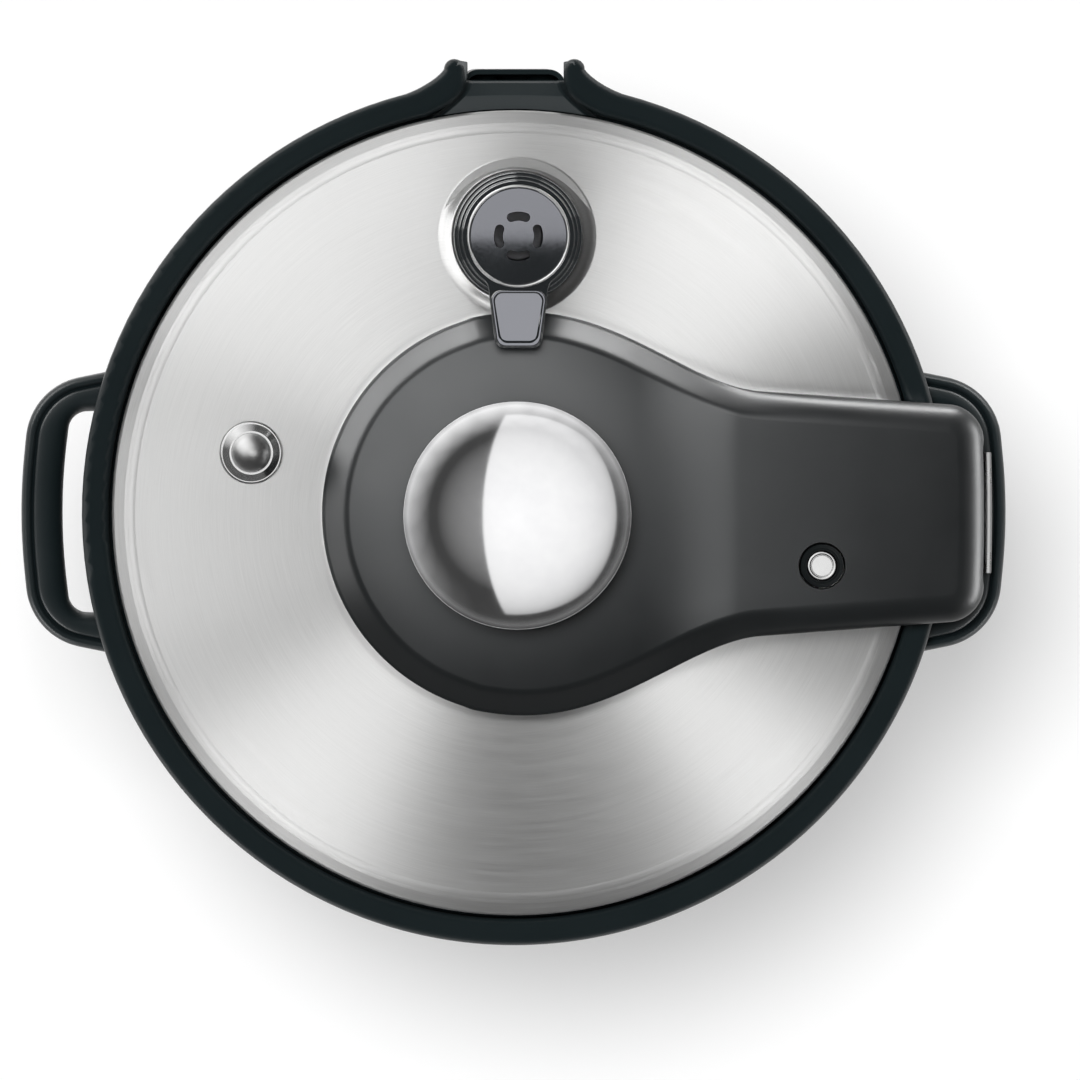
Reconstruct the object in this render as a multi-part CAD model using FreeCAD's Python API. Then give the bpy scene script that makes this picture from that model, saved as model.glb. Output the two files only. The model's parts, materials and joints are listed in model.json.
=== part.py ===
import FreeCAD, Part
import math
import os

from FreeCAD import Vector

# An electric pressure cooker with a hinged lid, piece by piece, in millimetres.
# The origin is the centre of the foot ring's lower face and +Z is up. -Y is the front with the controls,
# +Y is the back with the condensation spout, and the lid's arm runs along +X to the hinge on the right.

UP = Vector(0, 0, 1)
AXIS_X = Vector(1, 0, 0)
AXIS_Y = Vector(0, 1, 0)
CENTRE = Vector(0, 0, 0)

# Clearances
SLIDE_GAP = 0.3          # between pieces that move past each other
FIT_GAP = 0.15           # between fixed pieces that plug together
SHAFT_GAP = 0.05         # running clearance of a shaft or pin, on the radius
STACK_GAP = 1.0          # between the stacked lid plates

# Pot and the shells around it
POT_INNER_R = 110.0
POT_WALL = 1.2
POT_HEIGHT = 156.0
POT_CORNER_R = 14.0
POT_FLANGE = 9.5
LUG_REACH = 9.3          # lock lugs beyond the pot's flange
LINER_CLEARANCE = 1.5    # around the lock lugs
LINER_WALL = 0.8
WRAP_GAP = 8.2           # air between liner and outer wrap
WRAP_WALL = 0.8

POT_R = POT_INNER_R + POT_WALL
FLANGE_R = POT_R + POT_FLANGE
LUG_R = FLANGE_R + LUG_REACH
LINER_INNER_R = LUG_R + LINER_CLEARANCE
LINER_R = LINER_INNER_R + LINER_WALL
WRAP_INNER_R = LINER_R + WRAP_GAP
WRAP_R = WRAP_INNER_R + WRAP_WALL

# Base
FOOT_STANDOFF = 6.0
FOOT_SEAT = 1.5          # foot ring's depth in the base
FOOT_WIDTH = 11.0
FOOT_INSET = 17.0        # from the wrap to the middle of the foot ring
FOOT_EDGE_R = 1.0
BASE_HEIGHT = 46.0
BASE_WALL = 3.0
BASE_FLARE = 2.2         # base lip beyond the wrap
BASE_TAPER = 7.5         # how far the base narrows towards the floor
BASE_TAPER_HEIGHT = 30.0
BASE_EDGE_R = 8.0
WRAP_SEAT = 5.0          # wrap's depth in the base
BASE_PLATE_INSET = 9.5   # base plate inside the foot ring
BASE_PLATE_T = 2.0
BASE_PLATE_LAND = 9.0    # where the plate overlaps the base
VENT_SLOTS = 24
VENT_LENGTH = 22.0
VENT_WIDTH = 3.0
SCREW_R = 2.0
SCREW_HEAD_R = 3.0
SCREW_HEAD_T = 1.8
BASE_SCREW_LENGTH = 8.0
BASE_SCREWS = 4

BASE_Z = FOOT_STANDOFF
BASE_FLOOR_Z = BASE_Z + BASE_WALL
BASE_TOP_Z = BASE_Z + BASE_HEIGHT
BASE_R = WRAP_R + BASE_FLARE
FOOT_MID_R = WRAP_R - FOOT_INSET
FOOT_INNER_R = FOOT_MID_R - FOOT_WIDTH / 2
BASE_PLATE_R = FOOT_INNER_R - BASE_PLATE_INSET
BASE_OPENING_R = BASE_PLATE_R - BASE_PLATE_LAND
BASE_SCREW_PCR = BASE_PLATE_R - BASE_PLATE_LAND / 2
WRAP_Z = BASE_TOP_Z - WRAP_SEAT

# Heater
HEATER_RISE = 54.0       # heater's top face above the base's underside
HEATER_T = 11.0
HEATER_R = 98.0
HEATER_EDGE_R = 3.0
HEATER_LEGS = 3
HEATER_LEG_R = 5.0
HEATER_LEG_PCR = 88.0
ELEMENT_RING_R = 72.0
ELEMENT_SECTION_R = 4.5
TERMINAL_R = 1.8
TERMINAL_LENGTH = 5.0
TERMINAL_ANGLES = (-100.0, -80.0)
LINER_DROP = 9.0         # liner's floor below the heater
SENSOR_R = 13.0
SENSOR_HEAD_T = 3.0
SENSOR_STEM_R = 3.0
SENSOR_TRAVEL = 2.0
CUP_WALL_T = 1.0
SENSOR_CUP_DEPTH = 18.0
SENSOR_CUP_FLANGE = 5.0
SPRING_R = 8.0
SPRING_WIRE_R = 0.7
SPRING_TURNS = 5
SPRING_STEPS = 28        # short lengths in each turn
FUSE_R = 2.8
FUSE_LENGTH = 22.0
FUSE_Y = 42.0

HEATER_TOP_Z = BASE_Z + HEATER_RISE
HEATER_Z = HEATER_TOP_Z - HEATER_T
LINER_Z = HEATER_Z - LINER_DROP
FLANGE_TOP_Z = HEATER_TOP_Z + POT_HEIGHT
SENSOR_CUP_R = SENSOR_R + SLIDE_GAP + CUP_WALL_T
SENSOR_CUP_Z = HEATER_Z - SENSOR_CUP_DEPTH

# Lid plates, stacked upwards from the pot's flange
GASKET_HEIGHT = 6.0
GASKET_WIDTH = 6.5
GASKET_WALL = 1.8
GASKET_INSET = 0.9       # inside the flange's edge
PRESSURE_LID_T = 2.0
LOCK_RING_T = 4.0
BAYONET_T = 4.0
RIM_LEDGE_T = 4.0
RIM_RISE = 20.0          # rim's top above its ledge

GASKET_R = FLANGE_R - GASKET_INSET
PRESSURE_LID_Z = FLANGE_TOP_Z + GASKET_HEIGHT
PRESSURE_LID_TOP_Z = PRESSURE_LID_Z + PRESSURE_LID_T
LOCK_RING_Z = PRESSURE_LID_TOP_Z + STACK_GAP
BAYONET_Z = LOCK_RING_Z + LOCK_RING_T + STACK_GAP
LEDGE_Z = BAYONET_Z + BAYONET_T
LEDGE_TOP_Z = LEDGE_Z + RIM_LEDGE_T
RIM_TOP_Z = LEDGE_TOP_Z + RIM_RISE

# Top rim
LID_INSET = 2.5          # lid's edge inside the wrap
LID_GAP = 1.2
RIM_BAND = 9.2
RIM_BAND_T = 11.0
RIM_EDGE_R = 2.7
RIM_UNDERCUT = 3.0
LEDGE_CLEARANCE = 1.2    # ledge outside the liner
SKIRT_WALL = 1.8
SKIRT_DROP = 14.0        # skirt below the ledge
WRAP_TOP_GAP = 2.0
SPOUT_HALF = 17.2        # half the spout's mouth
HORN_REACH = 7.3         # the spout's two horns beyond the rim
HORN_WIDTH = 7.0
FLARE_SPAN = 13.0        # along the rim, from horn to plain rim
THROAT_SPAN = 13.3       # from the spout's mouth to the rim's inner edge
SPOUT_DROP = 8.5         # spout's floor below the rim's top
SPOUT_SLOPE = 1.8        # fall of the floor's outer half

LID_R = WRAP_R - LID_INSET
RIM_INNER_R = LID_R + LID_GAP
RIM_R = RIM_INNER_R + RIM_BAND
BAND_Z = RIM_TOP_Z - RIM_BAND_T
LEDGE_INNER_R = LINER_INNER_R + LEDGE_CLEARANCE
SKIRT_INNER_R = WRAP_R + FIT_GAP
SKIRT_R = SKIRT_INNER_R + SKIRT_WALL
SKIRT_Z = LEDGE_Z - SKIRT_DROP
WRAP_TOP_Z = LEDGE_Z - WRAP_TOP_GAP

# Bayonet lock
LUG_COUNT = 6
LUG_ANGLE = 24.0
LOCK_TURN = 30.0
LUG_OVERLAP = 5.5        # fixed lugs over turning lugs
BAYONET_INSET = 2.0      # bayonet ring inside the wrap
LOCK_RING_OUT = 2.3      # lock ring's plain edge beyond the pot's flange
LOCK_RING_WIDTH = 8.5
SPIDER_ARMS = 4
SPIDER_ARM_WIDTH = 14.0
SPIDER_ANGLE = 55.0
HUB_R = 15.0
HUB_RISE = 10.0
SHAFT_R = 8.0
SHAFT_FLANGE_R = 11.0
SHAFT_FLANGE_T = 2.5
BUSH_WALL = 3.0
BUSH_FLANGE = 4.0
BUSH_FLANGE_T = 3.0
BUSH_DEPTH = 9.0         # bush below the lid's crown
BUSH_RISE = 4.0          # bush above the lid's crown

BAYONET_R = WRAP_INNER_R - BAYONET_INSET
BAYONET_LUG_R = LUG_R - LUG_OVERLAP
LOCK_RING_R = FLANGE_R + LOCK_RING_OUT
LOCK_RING_INNER_R = LOCK_RING_R - LOCK_RING_WIDTH
BUSH_R = SHAFT_R + SHAFT_GAP + BUSH_WALL

# Lid cover
LID_SHEET = 1.0
LID_EDGE_RISE = 0.6      # lid's edge above the rim's top
LID_BEVEL_WIDTH = 4.6
LID_BEVEL_RISE = 1.9
LID_CROWN = 10.5         # rise from the bevel to the middle
LID_SKIRT = 13.6
LID_BEVEL_R = 4.0
LID_EDGE_R = 1.2
POST_R = 4.0
POST_PCR = 80.0
POST_ANGLES = (0.0, 72.0, 180.0, 265.0)

LID_EDGE_Z = RIM_TOP_Z + LID_EDGE_RISE
BEVEL_R = LID_R - LID_BEVEL_WIDTH
BEVEL_Z = LID_EDGE_Z + LID_BEVEL_RISE
CROWN_Z = BEVEL_Z + LID_CROWN
CROWN_R = (BEVEL_R ** 2 + LID_CROWN ** 2) / (2 * LID_CROWN)
SPHERE_Z = CROWN_Z - CROWN_R

# Hinge
HINGE_OUT = 7.1          # hinge axis beyond the rim
HINGE_RISE = 0.8         # hinge axis above the rim's top
HINGE_PIN_R = 2.5
KNUCKLE_R = 4.6
KNUCKLE_HALF = 17.3
EAR_T = 3.0
EAR_R = 4.6
BRACKET_T = 1.9
BRACKET_GAP = 0.4        # between arm's end and bracket
BRACKET_DROP = 7.4       # bracket's top below the hinge axis
TONGUE_DEPTH = 16.0
ARM_END_OUT = 5.9        # arm's end beyond the hinge axis
ARM_HEEL_R = 6.3         # arm's heel round the hinge axis
ARM_WINDOW_HALF = 26.0   # window in the arm's end for the bracket
ARM_WINDOW_RISE = 12.0
ARM_WINDOW_R = 5.0

HINGE_X = RIM_R + HINGE_OUT
HINGE_Z = RIM_TOP_Z + HINGE_RISE
ARM_END_X = HINGE_X + ARM_END_OUT
EAR_Y = KNUCKLE_HALF + SLIDE_GAP
BRACKET_HALF = EAR_Y + EAR_T
BRACKET_X = ARM_END_X + BRACKET_GAP
BRACKET_TOP_Z = HINGE_Z - BRACKET_DROP

# Lid arm
DOME_R = 69.5
DOME_X = 2.9
DOME_RISE = 13.0         # arm's top above the lid's crown
ARM_HALF_ROOT = 47.9     # half width at the dome's middle
ARM_HALF_END = 36.6
ARM_END_BOW = 0.8
ARM_BOW_R = 180.0
ARM_BOW_TIP = 0.3        # the bow's peak before it is rounded
ARM_END_DROP = 10.0      # how far the arm's top falls to its end
ARM_SLOPE_X = 40.0
ARM_NECK_R = 22.0
ARM_CORNER_R = 15.5
ARM_EDGE_R = 7.5
ARM_WALL = 3.0
ARM_OVER_RIM = 1.0
FRAME_SEAT = 0.2
FRAME_T = 2.0
FRAME_HALF = 28.0
FRAME_BACK = 42.0
FRAME_CORNER_R = 12.0
FRAME_SCREW_X = 32.0
FRAME_SCREW_Y = 16.0
FRAME_SCREW_LENGTH = 6.0
BOSS_R = 3.5
BOSS_PLACES = ((8.0, 23.5), (8.0, -23.5), (122.0, 22.0), (122.0, -22.0))

ARM_TOP_Z = CROWN_Z + DOME_RISE
SLOPE_RUN = ARM_END_X - ARM_SLOPE_X
SLOPE_R = (SLOPE_RUN ** 2 + ARM_END_DROP ** 2) / (2 * ARM_END_DROP)

# Handles
HANDLE_OUT = 20.9        # beyond the rim
HANDLE_HALF = 52.5       # half width at the root, inside the rim
HANDLE_SHOULDER = 9.5    # half width lost at the outer corner
HANDLE_BAR = 13.7
HANDLE_GAP_HALF = 36.4
HANDLE_GAP_SHOULDER = 1.8
HANDLE_CORNER_R = 19.0
HANDLE_GAP_CORNER_R = 6.5
HANDLE_BOW = 3.4
HANDLE_BOW_R = 200.0
HANDLE_BOW_TIP = 0.85    # the bow's peak before it is rounded
HANDLE_T = 22.5
HANDLE_LIP = 3.4         # lip outside the groove
HANDLE_GROOVE = 0.7
HANDLE_EDGE_R = 1.6
HANDLE_GRIP_R = 8.0
HANDLE_SCREW_Y = 42.0
HANDLE_SCREW_RISE = 4.5
HANDLE_SCREW_LENGTH = 12.0

HANDLE_X = RIM_R + HANDLE_OUT
HANDLE_TOP_Z = BAND_Z - RIM_UNDERCUT - FIT_GAP
HANDLE_Z = HANDLE_TOP_Z - HANDLE_T
HANDLE_SCREW_Z = HANDLE_Z + HANDLE_SCREW_RISE
TONGUE_Z = HANDLE_TOP_Z - TONGUE_DEPTH

# Knob
KNOB_R = 39.2
KNOB_HEIGHT = 37.0
KNOB_NECK_R = 27.0
KNOB_DOME_R = 55.0
KNOB_EDGE_R = 5.35       # round between the dome and the side
KNOB_WALL = 2.0
KNOB_LIFT = 0.6          # knob's foot above the arm
KNOB_CORE_HEIGHT = 20.0

KNOB_Z = ARM_TOP_Z + KNOB_LIFT

# Steam valve
VALVE_X = 0.7
VALVE_Y = 95.7
LANDING_R = 25.7
LANDING_DROP = 1.4
COLLAR_R = 22.1
COLLAR_NECK_R = 20.4
COLLAR_STEP = 6.0
COLLAR_HEIGHT = 14.0
CAP_R = 19.4
CAP_EDGE_R = 0.9
SPIGOT_WALL = 2.4
SPIGOT_LENGTH = 4.0
DISC_R = 17.6
DISC_T = 2.0
DISC_PROUD = 0.5
DISC_CHAMFER = 1.2
TAIL_END = 38.7
TAIL_ROOT_HALF = 12.4    # half the tail's width, carried on to the valve's axis
TAIL_END_HALF = 7.9
TAIL_T = 4.2
TAIL_CORNER_R = 3.6
TAIL_NECK_R = 5.0
PAD_START = 19.8
PAD_MARGIN = 1.6
PAD_DEPTH = 0.5
SLOT_R = 6.9
SLOT_WIDTH = 3.1
SLOT_ANGLE = 42.0
PIPE_R = 6.0
PIPE_BORE_R = 2.2
PIPE_RISE = 8.0          # pipe above the valve's landing
PIPE_DROP = 4.0          # pipe below the pressure lid
WEIGHT_R = 9.0
WEIGHT_HEIGHT = 6.5
WEIGHT_LIFT = 3.0
SHIELD_R = 10.0
SHIELD_DEPTH = 10.0
SHIELD_WALL = 1.0
SHIELD_HOLES = 8

# Safety valve and float pin
SAFETY_X = -91.0
SAFETY_Y = 21.0
SAFETY_R = 10.7
SAFETY_STEP_R = 9.9
SAFETY_DOME_R = 6.8
SAFETY_STEM_R = 7.0
SAFETY_PIN_R = 2.5
SAFETY_FLANGE_T = 3.5
SAFETY_STEP_T = 2.0
SAFETY_CONE_T = 2.2
SAFETY_DOME_T = 3.0
SAFETY_LIFT = 2.0
FLOAT_X = 105.3
FLOAT_Y = -17.8
FLOAT_HEAD_R = 4.7
FLOAT_HEAD_T = 4.0
FLOAT_STEM_R = 2.2
FLOAT_RING_R = 7.4
FLOAT_RING_T = 7.0
FLOAT_RING_GAP = 0.6
FLOAT_SINK = 0.8         # pin's head below its ring
FLOAT_LIFT = 3.0
FLOAT_SEAL_R = 4.6
FLOAT_SEAL_T = 1.6

# Controls
PANEL_T = 3.0
PANEL_HALF = 82.0
PANEL_Z = 90.0
PANEL_HEIGHT = 114.0
PANEL_CORNER_R = 12.0
PANEL_LAND = 6.0         # panel's overlap on the wrap
WINDOW_HALF = 36.0
WINDOW_RISE = 60.0
WINDOW_HEIGHT = 38.0
WINDOW_CORNER_R = 4.0
DIAL_RISE = 31.0
DIAL_R = 20.0
DIAL_PROUD = 4.4
DIAL_SEAT = 1.4
DIAL_SHAFT_R = 3.0
DIAL_FLUTES = 40
DIAL_FLUTE_R = 0.7
BUTTON_R = 6.2
BUTTON_FLANGE = 1.4
BUTTON_FLANGE_T = 1.6
BUTTON_TRAVEL = 0.8
BUTTON_PRESSED_PROUD = 0.4
BUTTON_ANGLE = 24.0
BUTTON_UPPER = 82.0
BUTTON_LOWER = 31.0
BOARD_T = 1.6
BOARD_HALF = 31.0
BOARD_MARGIN = 8.0
BOARD_BEHIND = 5.85      # board's front behind the panel's inner face
BOARD_POST_R = 2.5
BOARD_POST_X = 28.0
DISPLAY_HALF = 24.0
DISPLAY_T = 2.8
ENCODER_SIDE = 12.0
ENCODER_T = 4.5

PANEL_INNER_R = WRAP_R + FIT_GAP
PANEL_R = PANEL_INNER_R + PANEL_T
DIAL_Z = PANEL_Z + DIAL_RISE
WINDOW_Z = PANEL_Z + WINDOW_RISE
BOARD_Y = -(PANEL_INNER_R - BOARD_BEHIND)
BUTTON_PROUD = BUTTON_TRAVEL + BUTTON_PRESSED_PROUD

# Power board under the heater
POWER_HALF = 46.0
POWER_Y = -46.0
POWER_DEPTH = 56.0
POWER_RISE = 8.0
PILLAR_R = 3.5
TRANSFORMER = (30.0, 26.0, 17.0)
TRANSFORMER_X = -24.0
RELAY = (20.0, 16.0, 14.0)
RELAY_X = 22.0
LEAD_R = 1.5

BASE_PLATE_TOP_Z = BASE_Z
POWER_Z = BASE_PLATE_TOP_Z + POWER_RISE
POWER_TOP_Z = POWER_Z + BOARD_T

# Mains inlet
INLET_WIDTH = 27.0
INLET_HEIGHT = 20.0
INLET_DEPTH = 22.0
INLET_RISE = 22.0
INLET_PROUD = 0.5        # inlet's face beyond the base
INLET_EDGE_R = 1.2
SOCKET_WIDTH = 24.0
SOCKET_HEIGHT = 16.5
SOCKET_DEPTH = 17.0
SOCKET_PINS = ((-7.0, -2.0), (7.0, -2.0), (0.0, 2.0))
PIN_WIDTH = 2.0
PIN_HEIGHT = 4.0
PIN_LENGTH = 14.0

INLET_Z = BASE_Z + INLET_RISE
INLET_FACE_Y = BASE_R + INLET_PROUD

# Condensation cup
CUP_HALF = 18.0
CUP_OUT = 3.7            # beyond the rim
CUP_HEIGHT = 60.0
CUP_WALL = 1.7
CUP_CORNER_R = 6.0
CUP_BACK_CORNER_R = 3.0
CUP_EDGE_R = 2.0
CUP_BRIM_GAP = 1.5       # brim below the rim's underside
CUP_BACK_GAP = 0.6
PEG_R = 2.4
PEG_LENGTH = 5.0
PEG_X = 10.0
PEG_BOSS_R = 4.6
BRACKET_PLATE_HALF = 16.0
BRACKET_PLATE_HEIGHT = 20.0
BRACKET_PLATE_GAP = 2.0

CUP_TOP_Z = BAND_Z - RIM_UNDERCUT - CUP_BRIM_GAP
CUP_Z = CUP_TOP_Z - CUP_HEIGHT
CUP_BACK_Y = SKIRT_R + CUP_BACK_GAP
CUP_FRONT_Y = RIM_R + CUP_OUT
PLATE_TOP_Z = SKIRT_Z - BRACKET_PLATE_GAP
PEG_Z = PLATE_TOP_Z - BRACKET_PLATE_HEIGHT / 2

FAR = 400.0              # longer than any piece, for cutting tools


def save(name, shape):
    shape.exportStep("parts/" + name + ".step")


def block(x0, x1, y0, y1, z0, z1):
    return Part.makeBox(x1 - x0, y1 - y0, z1 - z0, Vector(x0, y0, z0))


def rod(r, z0, z1, x=0.0, y=0.0):
    return Part.makeCylinder(r, z1 - z0, Vector(x, y, z0))


def tube(r, inner_r, z0, z1, x=0.0, y=0.0):
    return rod(r, z0, z1, x, y).cut(rod(inner_r, z0, z1, x, y))


def rod_y(r, y0, y1, x, z):
    return Part.makeCylinder(r, y1 - y0, Vector(x, y0, z), AXIS_Y)


def rod_x(r, x0, x1, y, z):
    return Part.makeCylinder(r, x1 - x0, Vector(x0, y, z), AXIS_X)


def polar(r, degrees):
    angle = math.radians(degrees)
    return r * math.cos(angle), r * math.sin(angle)


def turned(shape, degrees):
    copy = shape.copy()
    copy.rotate(CENTRE, UP, degrees)
    return copy


def union(shapes):
    return shapes[0].multiFuse(shapes[1:]).removeSplitter()


def face_of(steps, place):
    """A flat face. A step is a point, or (middle, end) for an arc, or (pull, pull, end) for a curve."""
    first = place(steps[0])
    start = first
    edges = []
    for step in steps[1:]:
        if not isinstance(step[0], tuple):
            end = place(step)
            edge = Part.makeLine(start, end)
        elif len(step) == 2:
            end = place(step[1])
            edge = Part.Arc(start, place(step[0]), end).toShape()
        else:
            end = place(step[2])
            curve = Part.BezierCurve()
            curve.setPoles([start, place(step[0]), place(step[1]), end])
            edge = curve.toShape()
        edges.append(edge)
        start = end
    if start.distanceToPoint(first) > 1e-6:
        edges.append(Part.makeLine(start, first))
    return Part.Face(Part.Wire(edges))


def spin(steps):
    """A solid of revolution about Z from (radius, z) steps."""
    face = face_of(steps, lambda p: Vector(p[0], 0, p[1]))
    return face.revolve(CENTRE, UP, 360)


def plan(steps, z0, z1):
    """A prism from (x, y) steps."""
    face = face_of(steps, lambda p: Vector(p[0], p[1], z0))
    return face.extrude(Vector(0, 0, z1 - z0))


def side(steps, y0, y1):
    """A prism along Y from (x, z) steps."""
    face = face_of(steps, lambda p: Vector(p[0], y0, p[1]))
    return face.extrude(Vector(0, y1 - y0, 0))


def rounded(corners):
    """Steps for a closed outline from (x, y, corner radius) points."""
    steps = []
    count = len(corners)
    for index in range(count):
        x, y, r = corners[index]
        here = Vector(x, y, 0)
        if r == 0:
            steps.append((x, y))
            continue
        before = Vector(corners[index - 1][0], corners[index - 1][1], 0)
        after = Vector(corners[(index + 1) % count][0], corners[(index + 1) % count][1], 0)
        back = (before - here).normalize()
        ahead = (after - here).normalize()
        half = back.getAngle(ahead) / 2
        reach = r / math.tan(half)
        enter = here + back * reach
        leave = here + ahead * reach
        middle = here + (back + ahead).normalize() * (r / math.sin(half) - r)
        steps.append((enter.x, enter.y))
        steps.append(((middle.x, middle.y), (leave.x, leave.y)))
    if isinstance(steps[-1][0], tuple) and not isinstance(steps[0][0], tuple):
        return steps + [steps[0]]
    return steps


def round_box(half, z0, z1, corner_r, y0, y1):
    """A prism along Y whose front view is a rectangle with round corners."""
    corners = [(-half, z0, corner_r), (half, z0, corner_r), (half, z1, corner_r), (-half, z1, corner_r)]
    return side(rounded(corners), y0, y1)


def round_rings(shape, r, rings):
    """Fillet the circular edges of the given (radius, z)."""
    picked = []
    for edge in shape.Edges:
        if edge.Degenerated or not isinstance(edge.Curve, Part.Circle):
            continue
        for ring_r, ring_z in rings:
            same_r = abs(edge.Curve.Radius - ring_r) < 0.01
            if same_r and abs(edge.Curve.Center.z - ring_z) < 0.01:
                picked.append(edge)
    return shape.makeFillet(r, picked)


def edges_at(shape, z):
    return [e for e in shape.Edges if abs(e.BoundBox.ZMin - z) < 1e-3 and abs(e.BoundBox.ZMax - z) < 1e-3]


def uprights(shape, x0, x1):
    """Vertical edges between two x positions."""
    picked = []
    for edge in shape.Edges:
        box = edge.BoundBox
        is_upright = box.XLength < 1e-3 and box.YLength < 1e-3
        if is_upright and x0 < box.Center.x < x1:
            picked.append(edge)
    return picked


def screw(length):
    """A pan-head screw at the origin, its head above z = 0."""
    head = round_rings(rod(SCREW_HEAD_R, 0, SCREW_HEAD_T), SCREW_HEAD_T * 0.6, [(SCREW_HEAD_R, SCREW_HEAD_T)])
    slot_half = SCREW_HEAD_R * 0.6
    slot = block(-slot_half, slot_half, -0.4, 0.4, SCREW_HEAD_T * 0.5, SCREW_HEAD_T)
    return union([head, rod(SCREW_R, -length, 0)]).cut(slot).cut(turned(slot, 90))


# Base

def foot_ring():
    outer_r = FOOT_INNER_R + FOOT_WIDTH
    ring = tube(outer_r, FOOT_INNER_R, 0, FOOT_STANDOFF + FOOT_SEAT)
    return round_rings(ring, FOOT_EDGE_R, [(outer_r, 0), (FOOT_INNER_R, 0)])


def base_screw_places():
    return [polar(BASE_SCREW_PCR, 45 + 360 / BASE_SCREWS * i) for i in range(BASE_SCREWS)]


def inlet_hole(gap):
    half = INLET_WIDTH / 2 + gap
    rise = INLET_HEIGHT / 2 + gap
    return block(-half, half, 0, FAR, INLET_Z - rise, INLET_Z + rise)


def base_moulding():
    foot_r = BASE_R - BASE_TAPER
    bend_z = BASE_Z + BASE_TAPER_HEIGHT
    inner_r = WRAP_INNER_R - BASE_WALL
    shell = spin([
        (BASE_OPENING_R, BASE_Z), (foot_r, BASE_Z), (BASE_R, bend_z), (BASE_R, BASE_TOP_Z),
        (WRAP_R + FIT_GAP, BASE_TOP_Z), (WRAP_R + FIT_GAP, WRAP_Z), (inner_r, WRAP_Z), (inner_r, bend_z),
        (foot_r - BASE_WALL, BASE_FLOOR_Z), (BASE_OPENING_R, BASE_FLOOR_Z)])
    shell = round_rings(shell, BASE_EDGE_R, [(BASE_R, bend_z)])
    shell = round_rings(shell, BASE_WALL * 0.8, [(foot_r, BASE_Z)])
    groove = tube(FOOT_INNER_R + FOOT_WIDTH, FOOT_INNER_R, BASE_Z, BASE_Z + FOOT_SEAT)
    shell = shell.cut(groove)
    boss_top = BASE_Z + BASE_SCREW_LENGTH + 1
    bosses = [rod(SCREW_HEAD_R + 1.5, BASE_Z, boss_top, x, y) for x, y in base_screw_places()]
    shell = union([shell] + bosses)
    for x, y in base_screw_places():
        shell = shell.cut(rod(SCREW_R, BASE_Z, BASE_Z + BASE_SCREW_LENGTH, x, y))
    return shell.cut(inlet_hole(FIT_GAP))


def power_pillar_places():
    inset = PILLAR_R + 1.5
    xs = (-POWER_HALF + inset, POWER_HALF - inset)
    ys = (POWER_Y - POWER_DEPTH / 2 + inset, POWER_Y + POWER_DEPTH / 2 - inset)
    return [(x, y) for x in xs for y in ys]


def base_plate():
    plate = rod(BASE_PLATE_R, BASE_Z - BASE_PLATE_T, BASE_Z)
    plate = plate.makeChamfer(0.6, edges_at(plate, BASE_Z - BASE_PLATE_T))
    pillars = [rod(PILLAR_R, BASE_Z - BASE_PLATE_T, POWER_Z, x, y) for x, y in power_pillar_places()]
    plate = union([plate] + pillars)
    start = BASE_OPENING_R - VENT_LENGTH - 4
    slot = block(start, start + VENT_LENGTH, -VENT_WIDTH / 2, VENT_WIDTH / 2, BASE_Z - BASE_PLATE_T, BASE_Z)
    slots = [turned(slot, 360 / VENT_SLOTS * (i + 0.5)) for i in range(VENT_SLOTS)]
    free = [s for s in slots if s.common(Part.makeCompound(pillars)).Volume < 1e-6]
    plate = plate.cut(free)
    for x, y in base_screw_places():
        plate = plate.cut(rod(SCREW_R + FIT_GAP, BASE_Z - BASE_PLATE_T, BASE_Z, x, y))
    return plate


def base_screws():
    screws = []
    for x, y in base_screw_places():
        one = screw(BASE_SCREW_LENGTH)
        one.rotate(CENTRE, AXIS_X, 180)
        one.translate(Vector(x, y, BASE_Z - BASE_PLATE_T))
        screws.append(one)
    return Part.makeCompound(screws)


# Body

def handle_screw_tools(r):
    """Rods through the wrap and skirt, where the handle screws pass."""
    return [rod_x(r, x0, x1, y, HANDLE_SCREW_Z)
            for x0, x1 in ((-FAR, 0), (0, FAR))
            for y in (-HANDLE_SCREW_Y, HANDLE_SCREW_Y)]


def body_wrap():
    wrap = tube(WRAP_R, WRAP_INNER_R, WRAP_Z, WRAP_TOP_Z)
    window = round_box(PANEL_HALF - PANEL_LAND, PANEL_Z + PANEL_LAND, PANEL_Z + PANEL_HEIGHT - PANEL_LAND,
                       PANEL_CORNER_R - PANEL_LAND, -FAR, 0)
    return wrap.cut(window).cut(handle_screw_tools(SCREW_R + FIT_GAP))


def horn_points():
    """The right half of the spout in plan: rim, flare, horn, mouth and throat."""
    tip_y = RIM_R + HORN_REACH
    mouth = SPOUT_HALF
    outer = SPOUT_HALF + HORN_WIDTH
    start_x = outer + FLARE_SPAN
    start = (start_x, math.sqrt(RIM_R ** 2 - start_x ** 2))
    throat_x = mouth + THROAT_SPAN
    throat = (throat_x, math.sqrt(RIM_INNER_R ** 2 - throat_x ** 2))
    tip_r = HORN_WIDTH / 2
    return {
        "start": start,
        "flare_a": (start_x - FLARE_SPAN * 0.42, start[1] + FLARE_SPAN * 0.15),
        "flare_b": (outer + HORN_WIDTH * 0.24, tip_y - HORN_REACH * 0.85),
        "outer": (outer, tip_y - tip_r),
        "tip": (mouth + tip_r, tip_y),
        "inner": (mouth, tip_y - tip_r),
        "mouth": (mouth, RIM_R - 0.4),
        "throat_a": (mouth, RIM_R - RIM_BAND * 0.62),
        "throat_b": (mouth + THROAT_SPAN * 0.42, throat[1] + RIM_BAND * 0.36),
        "throat": throat,
    }


def mirrored(point):
    return -point[0], point[1]


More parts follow.
